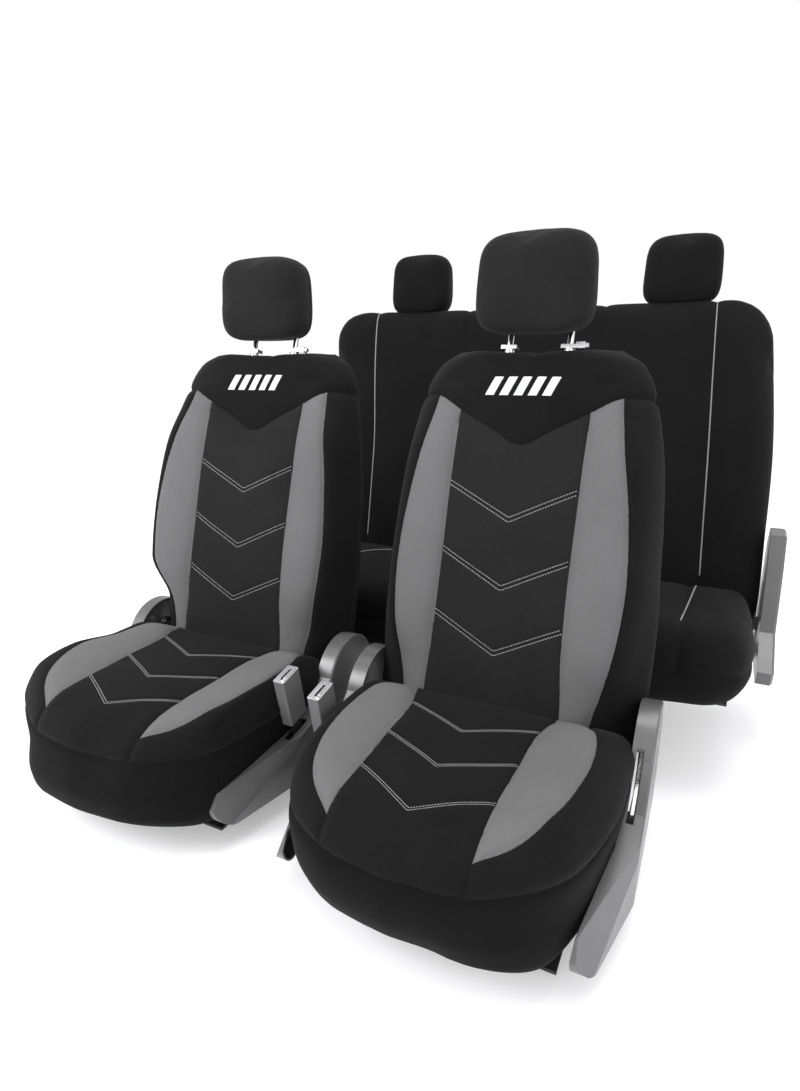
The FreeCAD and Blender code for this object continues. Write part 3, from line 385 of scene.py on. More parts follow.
def remesh(obj, voxel):
    """Even quads of one size all over."""
    change = obj.modifiers.new("remesh", "REMESH")
    change.mode = "VOXEL"
    change.voxel_size = voxel
    bake_modifiers(obj)
    relax = obj.modifiers.new("relax", "SMOOTH")
    relax.factor = 0.5
    relax.iterations = 4
    bake_modifiers(obj)


CLOTH = {
    "quality": 4, "mass": 0.25, "tension_stiffness": 18.0, "compression_stiffness": 18.0,
    "shear_stiffness": 6, "bending_stiffness": 0.6, "use_pressure": True,
    "uniform_pressure_force": 4.0, "vertex_group_mass": "held",
}
CLOTH_FRAMES = 20


def puff(obj, held, limit):
    """Cloth under inside pressure; held vertices stay, the rest moves at most limit."""
    start = get_points(obj.data)
    pins = obj.vertex_groups.new(name="held")
    pins.add([int(index) for index in np.nonzero(held)[0]], 1.0, "REPLACE")
    cloth = obj.modifiers.new("cloth", "CLOTH")
    for key, value in CLOTH.items():
        setattr(cloth.settings, key, value)
    cloth.settings.effector_weights.gravity = 0
    cloth.collision_settings.use_self_collision = False
    cloth.collision_settings.use_collision = False
    cloth.point_cache.frame_start = 1
    cloth.point_cache.frame_end = CLOTH_FRAMES
    for step in range(CLOTH_FRAMES):
        bpy.context.scene.frame_set(step + 1)
    bake_modifiers(obj)
    bpy.context.scene.frame_set(1)
    moved = get_points(obj.data) - start
    length = np.linalg.norm(moved, axis=1, keepdims=True)
    moved *= np.minimum(1.0, limit / np.maximum(length, 1e-9))
    set_points(obj.data, start + moved)


def subdivide(obj):
    change = obj.modifiers.new("fine", "SUBSURF")
    change.levels = 1
    change.render_levels = 1
    bake_modifiers(obj)


def rise(low, high, value):
    """Smooth step from 0 at low to 1 at high."""
    part = np.clip((value - low) / (high - low), 0, 1)
    return part * part * (3 - 2 * part)


def curve(points):
    """Smooth function through (position, value) points with rising positions."""
    spots = np.array(points, float)
    x, y = spots[:, 0], spots[:, 1]
    slope = np.gradient(y, x)

    def value(at):
        at = np.clip(at, x[0], x[-1])
        index = np.clip(np.searchsorted(x, at) - 1, 0, len(x) - 2)
        width = x[index + 1] - x[index]
        part = (at - x[index]) / width
        start, end = slope[index] * width, slope[index + 1] * width
        square, cube = part ** 2, part ** 3
        return ((2 * cube - 3 * square + 1) * y[index] + (cube - 2 * square + part) * start
                + (3 * square - 2 * cube) * y[index + 1] + (cube - square) * end)

    return value


def dent(obj, distance, depth, width):
    """Press the surface in along lines, by distance (metres) from the nearest line."""
    points = get_points(obj.data)
    normals = get_normals(obj.data)
    press = depth * np.exp(-(distance(points) / width) ** 2)
    set_points(obj.data, points - normals * press[:, None])


def ripple(obj, height, scale, seed):
    """Gentle unevenness of stretched cloth, from a few crossing waves."""
    points = get_points(obj.data)
    normals = get_normals(obj.data)
    chooser = random.Random(seed)
    total = np.zeros(len(points))
    for _ in range(7):
        heading = Vector((chooser.uniform(-1, 1), chooser.uniform(-1, 1),
                          chooser.uniform(-1, 1))).normalized()
        phase = chooser.uniform(0, 6.28)
        total += np.sin(points @ np.array(heading) * 2 * math.pi / scale
                        * chooser.uniform(0.6, 1.6) + phase)
    set_points(obj.data, points + normals * (total * height / 3)[:, None])


def upholster(obj, seams, first, hold, rest, swell, waves, second):
    """Creased along its seams, puffed between them, gently uneven, then creased once more.

    first and second are the depth and width of the creases. The surface is held nearer than
    hold to a seam and wherever rest says so; swell limits the puffing."""
    dent(obj, seams, *first)
    points = get_points(obj.data)
    puff(obj, (seams(points) < hold) | rest(points), swell)
    ripple(obj, *waves)
    subdivide(obj)
    dent(obj, seams, *second)


def cut_along(work, field):
    """Split faces where the field changes sign, so panels end on a clean line."""
    points = np.array([vert.co[:] for vert in work.verts])
    value = field(points)
    value[np.abs(value) < 0.0006] = 0.0
    work.verts.index_update()
    touched = {vert for vert in work.verts if value[vert.index] == 0.0}
    for edge in list(work.edges):
        first, second = edge.verts
        if first.index < 0 or second.index < 0:
            continue
        a, b = value[first.index], value[second.index]
        if a * b < 0:
            new = bmesh.utils.edge_split(edge, first, a / (a - b))[1]
            new.index = -1
            touched.add(new)
    for face in list({face for vert in touched for face in vert.link_faces}):
        ends = [vert for vert in face.verts if vert in touched]
        if len(ends) == 2 and not any(ends[1] in edge.verts for edge in ends[0].link_edges
                                      if edge in face.edges[:]):
            bmesh.utils.face_split(face, ends[0], ends[1])
    work.verts.index_update()


TUCK = 0.004


def panels(obj, fields, zone):
    """Cut a skin along its seams and return one mesh per zone name, its edges turned in."""
    work = bmesh.new()
    work.from_mesh(obj.data)
    for field in fields:
        cut_along(work, field)
    work.normal_update()
    centres = np.array([face.calc_center_median()[:] for face in work.faces])
    normals = np.array([face.normal[:] for face in work.faces])
    names = zone(centres, normals)
    smooth_normals = {vert.index: vert.normal.copy() for vert in work.verts}
    result = {}
    for name in sorted(set(names)):
        if name == "none":
            continue
        result[name] = cut_out(work, np.nonzero(names == name)[0], smooth_normals, name)
    work.free()
    return result


def cut_out(work, chosen, smooth_normals, name):
    """The chosen faces as a mesh of their own, with its rim turned in under the surface."""
    work.faces.ensure_lookup_table()
    piece = bmesh.new()
    known = {}
    for index in chosen:
        corners = []
        for vert in work.faces[index].verts:
            if vert.index not in known:
                known[vert.index] = piece.verts.new(vert.co)
                known[vert.index].normal = smooth_normals[vert.index]
            corners.append(known[vert.index])
        try:
            piece.faces.new(corners)
        except ValueError:
            continue
    inward = {new: smooth_normals[old] for old, new in known.items()}
    rim = [edge for edge in piece.edges if len(edge.link_faces) == 1]
    grown = bmesh.ops.extrude_edge_only(piece, edges=rim)["geom"]
    partner = {}
    fresh = {item for item in grown if isinstance(item, bmesh.types.BMVert)}
    for vert in fresh:
        for edge in vert.link_edges:
            other = edge.other_vert(vert)
            if other not in fresh and other in inward:
                partner[vert] = other
    for vert, source in partner.items():
        vert.co = source.co - inward[source] * TUCK
    bmesh.ops.recalc_face_normals(piece, faces=piece.faces[:])
    for face in piece.faces:
        face.smooth = True
    mesh = bpy.data.meshes.new(name)
    piece.to_mesh(mesh)
    piece.free()
    return mesh


def reshaped(mesh, *changes):
    """Copy of a mesh with its points moved by each change in turn."""
    copy = mesh.copy()
    points = get_points(copy)
    for change in changes:
        change(points)
    set_points(copy, points)
    return copy


BACK_FULLER = 0.048
CUSHION_FULLER = 0.046
LEVER_ROOM = 0.8


def fuller_door_side(side, amount, base, across, lever_room=0.0):
    """Change that makes the left seat's covers fuller on their door side.

    The widening fades in upwards over the heights in base, clear of the side shield, and
    outwards over the distances in across; it is less at the shoulders. lever_room takes that
    share of it away again where the recline lever swings."""
    def change(points):
        if side == "left":
            share = rise(*across, -points[:, 0]) * rise(*base, points[:, 2])
            share *= 1 - 0.35 * rise(0.36, 0.60, points[:, 2])
            share *= 1 - lever_room * rise(-0.21, -0.12, points[:, 1])
            points[:, 0] -= amount * share
    return change


def shift_across(table):
    """Change that moves points sideways by how far across the seat they are."""
    amount = curve(table)

    def change(points):
        points[:, 0] += amount(points[:, 0])
    return change


def placed(name, mesh, matrix, body, material):
    """A copy of a mesh put on a seat, riding with its body."""
    copy = mesh.copy()
    copy.transform(matrix)
    copy.materials.clear()
    copy.materials.append(MATERIALS[material])
    obj = bpy.data.objects.new(name, copy)
    bpy.context.scene.collection.objects.link(obj)
    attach(obj, body)
    return obj


def cover(nodes, name, mesh, matrix, body, material):
    """A placed, padded piece that stands for CAD nodes."""
    piece = placed(name, mesh, matrix, body, material)
    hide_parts(*nodes)


def dress(parts, prefix, body, matrix, looks, backing, changes):
    """Put a cover's panels on a seat; the backing panel stands for the foam as well."""
    for zone, mesh in parts.items():
        nodes = [prefix + zone]
        if zone == backing:
            nodes.append(prefix + "foam")
        cover(nodes, prefix + "cover_" + zone, reshaped(mesh, *changes), matrix, body,
              looks.get(zone, "black"))


def drop(obj):
    bpy.data.objects.remove(obj, do_unlink=True)


# ---- thread, stitches and piping

def surface_of(obj):
    graph = bpy.context.evaluated_depsgraph_get()
    return BVHTree.FromObject(obj, graph)


def on_surface(tree, point, direction):
    """Where a straight look from outside meets the skin, and the skin's normal there."""
    hit, normal, _, _ = tree.ray_cast(Vector(point), Vector(direction))
    return None if hit is None else (hit, normal)


def walk(points, step):
    """Evenly spaced points along straight runs."""
    result = []
    carry = 0.0
    for start, end in zip(points[:-1], points[1:]):
        start, end = Vector(start), Vector(end)
        length = (end - start).length
        at = carry
        while at <= length:
            result.append(start.lerp(end, at / length))
            at += step
        carry = at - length
    return result


STITCH_LIFT = 0.0003


def stitch_mesh(tree, lines, direction, step, length, radius):
    """Separate stitches lying on the skin; each is a short capsule."""
    verts, faces = [], []
    sides = 6
    stations = ((-0.5, 0.35), (-0.36, 0.9), (0.0, 1.05), (0.36, 0.9), (0.5, 0.35))
    for line in lines:
        spots = [on_surface(tree, point, direction) for point in walk(line, step)]
        for here, there in zip(spots[:-1], spots[1:]):
            if here is None or there is None:
                continue
            along = (there[0] - here[0])
            if along.length > 2 * step:
                continue
            middle = (here[0] + there[0]) / 2 + here[1] * STITCH_LIFT
            along.normalize()
            normal = here[1]
            side = along.cross(normal).normalized()
            first = len(verts)
            for offset, size in stations:
                for turn in range(sides):
                    angle = 2 * math.pi * turn / sides
                    verts.append(middle + along * (offset * length)
                                 + side * (math.cos(angle) * radius * size * 1.25)
                                 + normal * (math.sin(angle) * radius * size))
            faces += ring_faces(first, len(stations), sides)
    return smooth_mesh("stitches", verts, faces)


BEAD_SIDES = 8
BEAD_STEP = 0.008


def tube_mesh(path, radius):
    """Round bead along a path of (point, normal) pairs."""
    verts = []
    count = len(path)
    for index, (point, normal) in enumerate(path):
        after = path[min(index + 1, count - 1)][0]
        before = path[max(index - 1, 0)][0]
        along = (after - before).normalized()
        side = along.cross(normal).normalized()
        up = side.cross(along)
        for turn in range(BEAD_SIDES):
            angle = 2 * math.pi * turn / BEAD_SIDES
            verts.append(point + side * math.cos(angle) * radius + up * math.sin(angle) * radius)
    return smooth_mesh("bead", verts, ring_faces(0, count, BEAD_SIDES))


def bead_on(tree, line, direction, radius):
    """Piping that follows the skin along a line."""
    spots = [on_surface(tree, point, direction) for point in walk(line, BEAD_STEP)]
    return tube_mesh([spot for spot in spots if spot], radius)


def to_segments(points, line):
    """Distance of plane points to a polyline."""
    best = np.full(len(points), 1e9)
    for start, end in zip(line[:-1], line[1:]):
        start, end = np.array(start), np.array(end)
        run = end - start
        part = np.clip(((points - start) @ run) / (run @ run), 0, 1)
        best = np.minimum(best, np.linalg.norm(points - start - part[:, None] * run, axis=1))
    return best


def nearest(points, lines):
    """Distance of plane points to the nearest of some polylines, at most 1."""
    gap = np.full(len(points), 1.0)
    for line in lines:
        gap = np.minimum(gap, to_segments(points, line))
    return gap


def chevrons(levels, edge, fall, offset):
    """A chevron per level: its arms start on the panel's edges, its point lies fall lower."""
    lines = []
    for level in levels:
        half = float(edge(np.array(level)))
        lines.append([(-half, level + offset), (0.0, level - fall + offset * 1.1),
                      (half, level + offset)])
    return lines


# ---- frames from the CAD joints

def back_matrix(recline, height, depth, fall):
    """The back's own frame, from its recline pivot and the direction of its headrest posts."""
    up = Vector(JOINTS[height]["axis"]).normalized()
    inward = Vector((0, up.z, -up.y))
    pivot = Vector(JOINTS[recline]["pos_m"])
    origin = pivot - inward * depth + up * fall
    return Matrix((
        (1, 0, 0, origin.x),
        (0, inward.y, up.y, origin.y),
        (0, inward.z, up.z, origin.z),
        (0, 0, 0, 1),
    ))


def seat_matrix(back):
    return Matrix.Translation((back[0][3], back[1][3], 0))


# ---- front back cover

BACK_TOP = 0.690
BACK_HALF = curve([(-0.115, 0.160), (0.0, 0.178), (0.035, 0.186), (0.087, 0.208), (0.18, 0.226),
                   (0.26, 0.230), (0.37, 0.227), (0.49, 0.217), (0.585, 0.191), (0.645, 0.166),
                   (0.672, 0.148), (0.688, 0.124)])
BACK_REAR_HALF = curve([(-0.115, 0.282), (-0.05, 0.316), (0.0, 0.316), (0.085, 0.311),
                        (0.18, 0.304), (0.26, 0.296), (0.37, 0.288), (0.49, 0.274),
                        (0.585, 0.256), (0.645, 0.236), (0.672, 0.214), (0.688, 0.180)])
BACK_CENTRE = curve([(-0.115, 0.137), (0.0, 0.137), (0.09, 0.130), (0.2, 0.127), (0.41, 0.127),
                     (0.558, 0.128), (0.7, 0.128)])
BACK_INSERT = curve([(-0.115, 0.186), (0.0, 0.190), (0.04, 0.199), (0.127, 0.215), (0.23, 0.222),
                     (0.38, 0.211), (0.495, 0.192), (0.588, 0.179), (0.7, 0.176)])
BACK_SHIFT = {
    "left": [(-0.30, 0.0), (-0.21, -0.004), (-0.127, -0.008), (0.0, 0.003), (0.127, 0.005),
             (0.21, 0.010), (0.26, 0.003), (0.30, 0.0)],
    "right": [(-0.30, 0.0), (-0.22, -0.008), (-0.127, -0.004), (0.0, -0.003), (0.127, -0.005),
              (0.22, 0.001), (0.30, 0.0)],
}
YOKE = curve([(0.0, 0.492), (0.012, 0.494), (0.05, 0.516), (0.128, 0.558), (0.179, 0.588),
              (0.2, 0.592), (0.25, 0.594)])
BACK_CHEVRONS = (0.410, 0.278, 0.151)
BACK_FALL = 0.064
BACK_ROUND = 0.040
BACK_REAR_ROUND = 0.022
BACK_FRONT = 0.075
BACK_REAR_SEAM = 0.094
PIVOT_DEPTH = 0.085
PIVOT_FALL = 0.026


def back_front(level):
    """Depth of the back's front face at a height: foot round the pivot, rounded top."""
    foot = PIVOT_DEPTH - math.sqrt(max(PIVOT_DEPTH ** 2 - min(level + PIVOT_FALL, 0) ** 2, 0))
    top = max(level - (BACK_TOP - BACK_ROUND), 0)
    head = BACK_ROUND - math.sqrt(max(BACK_ROUND ** 2 - top ** 2, 0))
    swell = -0.114 * level * (0.54 - level) if level > 0 else 0.0
    return foot + head + swell


def back_rear(level):
    """Depth of the back's rear face at a height: the back is thinner towards its top."""
    foot = PIVOT_DEPTH + math.sqrt(max(PIVOT_DEPTH ** 2 - min(level + PIVOT_FALL, 0) ** 2, 0))
    taper = 0.120 - 0.036 * float(rise(0.30, 0.69, np.array(level)))
    top = max(level - (BACK_TOP - BACK_REAR_ROUND), 0)
    head = BACK_REAR_ROUND - math.sqrt(max(BACK_REAR_ROUND ** 2 - top ** 2, 0))
    return min(foot, taper) - head


def rounded_loop(half, front, rear, radius, level, count=24, rear_half=None):
    """Rounded rectangle or trapezium seen from above, as a closed row of points."""
    widen = (rear_half or half) / half - 1
    radius = min(radius, (rear - front) / 2 * 0.95, half * 0.9)
    row = []
    for corner, (x, y) in enumerate(((half - radius, rear - radius), (radius - half, rear - radius),
                                     (radius - half, front + radius),
                                     (half - radius, front + radius))):
        for step in range(count):
            angle = math.pi / 2 * (corner + step / (count - 1))
            depth = y + radius * math.sin(angle)
            scale = 1 + widen * (depth - front) / (rear - front)
            row.append(((x + radius * math.cos(angle)) * scale, depth, level))
    return row


def back_fields():
    return [
        lambda p: np.abs(p[:, 0]) - BACK_CENTRE(p[:, 2]),
        lambda p: np.abs(p[:, 0]) - BACK_INSERT(p[:, 2]),
        lambda p: p[:, 2] - YOKE(np.abs(p[:, 0])),
        lambda p: p[:, 1] - BACK_REAR_SEAM,
    ]


def back_zone(centres, normals):
    across = np.abs(centres[:, 0])
    names = np.full(len(centres), "side_panel", dtype=object)
    front = centres[:, 1] < BACK_FRONT
    below = centres[:, 2] < YOKE(across)
    names[front & (across < BACK_INSERT(centres[:, 2]))] = "inserts"
    names[front & (across < BACK_CENTRE(centres[:, 2]))] = "centre_panel"
    names[~below & (centres[:, 1] < BACK_REAR_SEAM)] = "yoke"
    return names


def back_seams(p):
    """Distance to the nearest sewn seam of the back cover."""
    across, level = np.abs(p[:, 0]), p[:, 2]
    front = p[:, 1] < BACK_FRONT
    below = level < YOKE(across) + 0.002
    gap = np.full(len(p), 1.0)
    for field in back_fields()[:2]:
        gap = np.where(front & below, np.minimum(gap, np.abs(field(p))), gap)
    slope = np.where(across < 0.185, 0.87, 1.0)
    yoke = np.where(p[:, 1] < BACK_REAR_SEAM, np.abs(level - YOKE(across)) * slope, 1.0)
    rear = np.abs(p[:, 1] - BACK_REAR_SEAM)
    return np.minimum(np.minimum(gap, yoke), rear)


def back_chevrons(offset):
    """Chevrons on the back, each a polyline of (x, height)."""
    return chevrons(BACK_CHEVRONS, BACK_CENTRE, BACK_FALL, offset)


def back_chevron_gap(p):
    inside = (p[:, 1] < 0.05) & (np.abs(p[:, 0]) < BACK_CENTRE(p[:, 2]))
    return np.where(inside, nearest(p[:, [0, 2]], back_chevrons(0.0)), 1.0)


def make_back_skin():
    rows = []
    levels = list(np.linspace(-0.110, 0.630, 62)) + [0.640, 0.650, 0.660, 0.668, 0.675, 0.681,
                                                     0.685, 0.688, 0.690]
    for level in levels:
        half = float(BACK_HALF(np.array(level)))
        front, rear = back_front(level), back_rear(level)
        rear_half = float(BACK_REAR_HALF(np.array(level)))
        rows.append(rounded_loop(half, front, rear, 0.046, level, rear_half=rear_half))
    obj = mesh_object("back_skin", *loft(rows))
    remesh(obj, 0.0075)
    points = get_points(obj.data)
    across, depth, level = np.abs(points[:, 0]), points[:, 1], points[:, 2]
    bolster = 0.013 * rise(0.105, 0.160, across) * rise(0.02, 0.14, level)
    bolster *= (1 - rise(0.46, 0.60, level)) * (1 - rise(0.0, 0.06, depth))
    points[:, 1] -= bolster
    set_points(obj.data, points)
    upholster(obj, back_seams, (0.0035, 0.010), 0.0045, lambda p: p[:, 2] < 0.0, 0.009,
              (0.0007, 0.17, 3), (0.0026, 0.0045))
    dent(obj, back_chevron_gap, 0.0022, 0.0075)
    return obj


def motif_mesh(tree, centre, width, height, direction):
    """White embroidered emblem: five slanted bars of satin stitch."""
    verts, faces = [], []
    bars = 5
    pitch = width / bars
    bar = pitch * 0.62
    slant = height * 0.45
    rows = 26
    columns = 7
    for index in range(bars):
        left = centre[0] - width / 2 + index * pitch
        for row in range(rows):
            part = row / (rows - 1)
            level = centre[1] - height / 2 + height * part
            shift = slant * (part - 0.5)
            first = len(verts)
            for column in range(columns):
                across = column / (columns - 1)
                x = left + shift + bar * across
                spot = on_surface(tree, (x, -0.3, level), direction)
                dome = math.sin(math.pi * across) ** 0.5
                ridge = 1.0 if row % 2 else 0.72
                lift = 0.0002 + 0.0013 * dome * ridge
                verts.append(spot[0] + spot[1] * lift)
            if row:
                for column in range(columns - 1):
                    low = first - columns + column
                    faces.append((low, low + 1, first + column + 1, first + column))
    return smooth_mesh("motif", verts, faces)


def make_front_backs(matrices):
    skin = make_back_skin()
    tree = surface_of(skin)
    parts = panels(skin, back_fields(), back_zone)
    lines = []
    for offset in (-0.0042, 0.0042):
        for line in back_chevrons(offset):
            lines.append([(x, -0.3, level) for x, level in line])
    stitches = stitch_mesh(tree, lines, (0, 1, 0), 0.0056, 0.0044, 0.0007)
    motif = motif_mesh(tree, (0.0, 0.604), 0.142, 0.036, (0, 1, 0))
    drop(skin)
    for side in SIDES:
        prefix = "front_%s_back_" % side
        body = "front_%s_back" % side
        matrix = matrices[side]
        shift = shift_across(BACK_SHIFT[side])
        fuller = fuller_door_side(side, BACK_FULLER, (0.06, 0.16), (0.12, 0.24))
        # The front backs' centre panels get the lighter knit, which is painted light.
        dress(parts, prefix, body, matrix, {"inserts": "grey", "centre_panel": "panel"},
              "side_panel", (shift, fuller))
        placed(prefix + "stitches", reshaped(stitches, shift), matrix, body, "thread")
        placed(prefix + "motif", reshaped(motif, shift), matrix, body, "white")


# ---- front cushion cover

CUSHION_SEAM = 0.203
LEAF_END = -0.404
CUSHION_EDGE = [(0.258, 0.006), (0.266, -0.03), (0.266, -0.09), (0.263, -0.18), (0.246, -0.28),
                (0.203, -0.372), (0.12, -0.438), (0.0, -0.460)]
LEAF_INNER = curve([(-0.46, 0.109), (-0.402, 0.112), (-0.30, 0.111), (-0.19, 0.115),
                    (-0.077, 0.121), (-0.014, 0.137), (0.1, 0.137)])
LEAF_OUTER = curve([(-0.46, 0.035), (-0.402, 0.111), (-0.36, 0.160), (-0.29, 0.196),
                    (-0.20, 0.216), (-0.13, 0.220), (-0.06, 0.211), (-0.014, 0.192),
                    (0.1, 0.18)])
CUSHION_CHEVRONS = (-0.0765, -0.190, -0.296)
CUSHION_FALL = 0.069
# height, side inset, front inset
CUSHION_SIDE = [(0.062, 0.036, 0.112), (0.054, 0.024, 0.096), (0.054, 0.014, 0.078),
                (0.064, 0.007, 0.054), (0.090, 0.002, 0.020), (0.130, 0.000, 0.002),
                (0.160, -0.002, 0.001), (0.182, -0.008, 0.004), (0.204, -0.011, 0.009),
                (0.218, -0.011, 0.016), (0.230, -0.008, 0.026), (0.240, -0.002, 0.038),
                (0.248, 0.006, 0.052), (0.255, 0.017, 0.069), (0.260, 0.030, 0.091)]


SPAN_POINTS = 10
REAR_POINTS = 24


def outline_points(edge):
    """Closed plan outline from its right half, mirrored, with outward normals."""
    right = np.array(edge)
    run = np.concatenate([[0], np.cumsum(np.linalg.norm(np.diff(right, axis=0), axis=1))])
    fx = curve(np.column_stack([run, right[:, 0]]))
    fy = curve(np.column_stack([run, right[:, 1]]))
    at = np.linspace(0, run[-1], SPAN_POINTS * (len(edge) - 1) + 1)
    half = np.column_stack([fx(at), fy(at)])
    rear = np.column_stack([np.linspace(-half[0, 0], half[0, 0], REAR_POINTS + 2)[1:-1],
                            np.full(REAR_POINTS, half[0, 1])])
    left = half[::-1][1:] * np.array([-1, 1])
    points = np.vstack([half, left, rear])
    for _ in range(2):
        points = (points + np.roll(points, 1, 0) + np.roll(points, -1, 0)) / 3
    tangent = np.roll(points, -1, 0) - np.roll(points, 1, 0)
    normal = np.column_stack([-tangent[:, 1], tangent[:, 0]])
    normal /= np.linalg.norm(normal, axis=1, keepdims=True)
    centre = points.mean(0)
    flip = np.sign(((points - centre) * normal).sum(1))
    return points, normal * flip[:, None]


def block_rows(edge, profile, crown):
    """Rows of a cushion: up its wall by the profile, then rings closing over the top."""
    points, normal = outline_points(edge)
    front = np.clip(-normal[:, 1], 0, 1) ** 1.5
    rows = []
    for level, side_inset, front_inset in profile:
        inset = side_inset * (1 - front) + front_inset * front
        ring = points - normal * inset[:, None]
        rows.append([(x, y, level) for x, y in ring])
    last = np.array(rows[-1])
    middle = np.array([0.0, (last[:, 1].min() + last[:, 1].max()) / 2])
    top = profile[-1][0]
    for scale in (0.9, 0.75, 0.55, 0.35, 0.15, 0.05):
        ring = middle + (last[:, :2] - middle) * scale
        rows.append([(x, y, top + crown * (1 - scale ** 2)) for x, y in ring])
    return rows


def cushion_fields():
    return [
        lambda p: np.abs(p[:, 0]) - LEAF_INNER(p[:, 1]),
        lambda p: np.abs(p[:, 0]) - LEAF_OUTER(p[:, 1]),
        lambda p: p[:, 2] - CUSHION_SEAM,
    ]


def cushion_zone(centres, normals):
    across = np.abs(centres[:, 0])
    names = np.full(len(centres), "border", dtype=object)
    leaf = (across < LEAF_OUTER(centres[:, 1])) & (centres[:, 1] > LEAF_END) & (normals[:, 2] > 0.3)
    names[leaf] = "inserts"
    front_or_top = (normals[:, 2] > 0.3) | (centres[:, 1] < -0.3)
    names[front_or_top & (across < LEAF_INNER(centres[:, 1]))] = "centre_panel"
    names[centres[:, 2] < CUSHION_SEAM] = "skirt"
    names[(centres[:, 2] < 0.058) & (normals[:, 2] < -0.9)] = "none"
    return names


def cushion_seams(p):
    across = np.abs(p[:, 0])
    top = p[:, 2] > CUSHION_SEAM
    rear = p[:, 1] > -0.02
    inner = np.where(top & ~rear, np.abs(across - LEAF_INNER(p[:, 1])), 1.0)
    leaf = np.where((p[:, 2] > 0.23) & (p[:, 1] > LEAF_END),
                    np.abs(across - LEAF_OUTER(p[:, 1])) * 0.85, 1.0)
    leaf = np.where(across > LEAF_INNER(p[:, 1]) - 0.004, leaf, 1.0)
    band = np.abs(p[:, 2] - CUSHION_SEAM)
    return np.minimum(np.minimum(inner, leaf), band)


def cushion_chevrons(offset):
    """Chevrons on the cushion, each a polyline of (x, y)."""
    return chevrons(CUSHION_CHEVRONS, LEAF_INNER, CUSHION_FALL, offset)


def cushion_chevron_gap(p):
    inside = (p[:, 2] > 0.22) & (np.abs(p[:, 0]) < LEAF_INNER(p[:, 1]))
    return np.where(inside, nearest(p[:, :2], cushion_chevrons(0.0)), 1.0)


def make_cushion_skin():
    obj = mesh_object("cushion_skin", *loft(block_rows(CUSHION_EDGE, CUSHION_SIDE, 0.006)))
    remesh(obj, 0.0075)
    points = get_points(obj.data)
    across, y, level = np.abs(points[:, 0]), points[:, 1], points[:, 2]
    lift = 0.014 * rise(0.105, 0.170, across) * (1 - rise(0.215, 0.262, across))
    lift *= rise(-0.40, -0.30, y) * (1 - rise(-0.06, -0.01, y)) * rise(0.225, 0.25, level)
    points[:, 2] += lift
    set_points(obj.data, points)
    upholster(obj, cushion_seams, (0.003, 0.010), 0.0045,
              lambda p: (p[:, 2] < 0.075) | (p[:, 1] > -0.02), 0.008, (0.0008, 0.15, 5),
              (0.0024, 0.0045))
    dent(obj, cushion_chevron_gap, 0.0018, 0.006)
    return obj


CUSHION_SHIFT = {
    "left": [(-0.30, 0.0), (-0.20, 0.0), (-0.115, -0.009), (-0.03, 0.003), (0.115, 0.020),
             (0.21, 0.022), (0.262, 0.003), (0.30, 0.0)],
    "right": [(-0.30, 0.0), (-0.262, -0.001), (-0.20, -0.008), (-0.115, -0.008), (0.0, -0.003),
              (0.115, -0.002), (0.20, -0.001), (0.262, 0.0), (0.30, 0.0)],
}


def cushion_change(side):
    """Pattern moved across the seat; the skirt hangs longer at the left seat's front."""
    shift = shift_across(CUSHION_SHIFT[side])

    def change(points):
        low = 1 - rise(0.07, 0.19, points[:, 2])
        front = rise(0.16, 0.34, -points[:, 1])
        right = rise(0.04, 0.22, points[:, 0])
        if side == "left":
            points[:, 1] -= 0.022 * low * front
            points[:, 2] -= 0.005 * low
            outer = rise(0.18, 0.27, -points[:, 0]) * rise(0.14, 0.26, -points[:, 1])
            points[:, 0] -= 0.012 * outer
        else:
            points[:, 1] -= (0.032 * right - 0.008) * low * front
            points[:, 2] -= 0.006 * right * low * front
        shift(points)
    return change


def make_front_cushions(matrices):
    skin = make_cushion_skin()
    tree = surface_of(skin)
    parts = panels(skin, cushion_fields(), cushion_zone)
    lines = []
    for offset in (-0.0024, 0.0024):
        for line in cushion_chevrons(offset):
            lines.append([(x, y, 0.6) for x, y in line])
    stitches = stitch_mesh(tree, lines, (0, 0, -1), 0.0044, 0.0034, 0.0006)
    drop(skin)
    for side in SIDES:
        prefix = "front_%s_cushion_" % side
        body = "front_%s_seat" % side
        matrix = matrices[side]
        change = cushion_change(side)
        fuller = fuller_door_side(side, CUSHION_FULLER, (0.165, 0.200), (0.12, 0.25), LEVER_ROOM)
        dress(parts, prefix, body, matrix, {"inserts": "grey", "skirt": "skirt"}, "border",
              (change, fuller))
        placed(prefix + "stitches", reshaped(stitches, change), matrix, body, "thread")


# ---- headrests

def headrest_skin(name, width, height, depth, swell):
    """Padded headrest centred on its own origin, widest below the middle."""
    rows = []
    steps = 40
    for index in range(steps + 1):
        turn = -math.pi / 2 + math.pi * index / steps
        level = height / 2 * math.copysign(abs(math.sin(turn)) ** 0.75, math.sin(turn))
        part = max(1 - abs(2 * level / height) ** 4.5, 0.0) ** (1 / 3.2)
        lean = 1.0 - 0.055 * (level / height + 0.5)
        half = width / 2 * (0.30 + 0.70 * part) * lean
        thick = depth / 2 * (0.22 + 0.78 * part)
        rows.append(rounded_loop(half, -thick, thick, thick * 0.85, level, 16))
    obj = mesh_object(name, *loft(rows))
    remesh(obj, 0.006)
    upholster(obj, lambda p: np.abs(p[:, 1] - depth * 0.16), (0.002, 0.008), 0.004,
              lambda p: p[:, 2] < -height / 2 + 0.012, swell, (0.0006, 0.11, 11),
              (0.0018, 0.0035))
    smooth_all(obj.data)
    return obj


HEADREST_LEAN = math.radians(12)
HEADREST_SHIFT = Vector((-0.010, 0.0, 0.003))


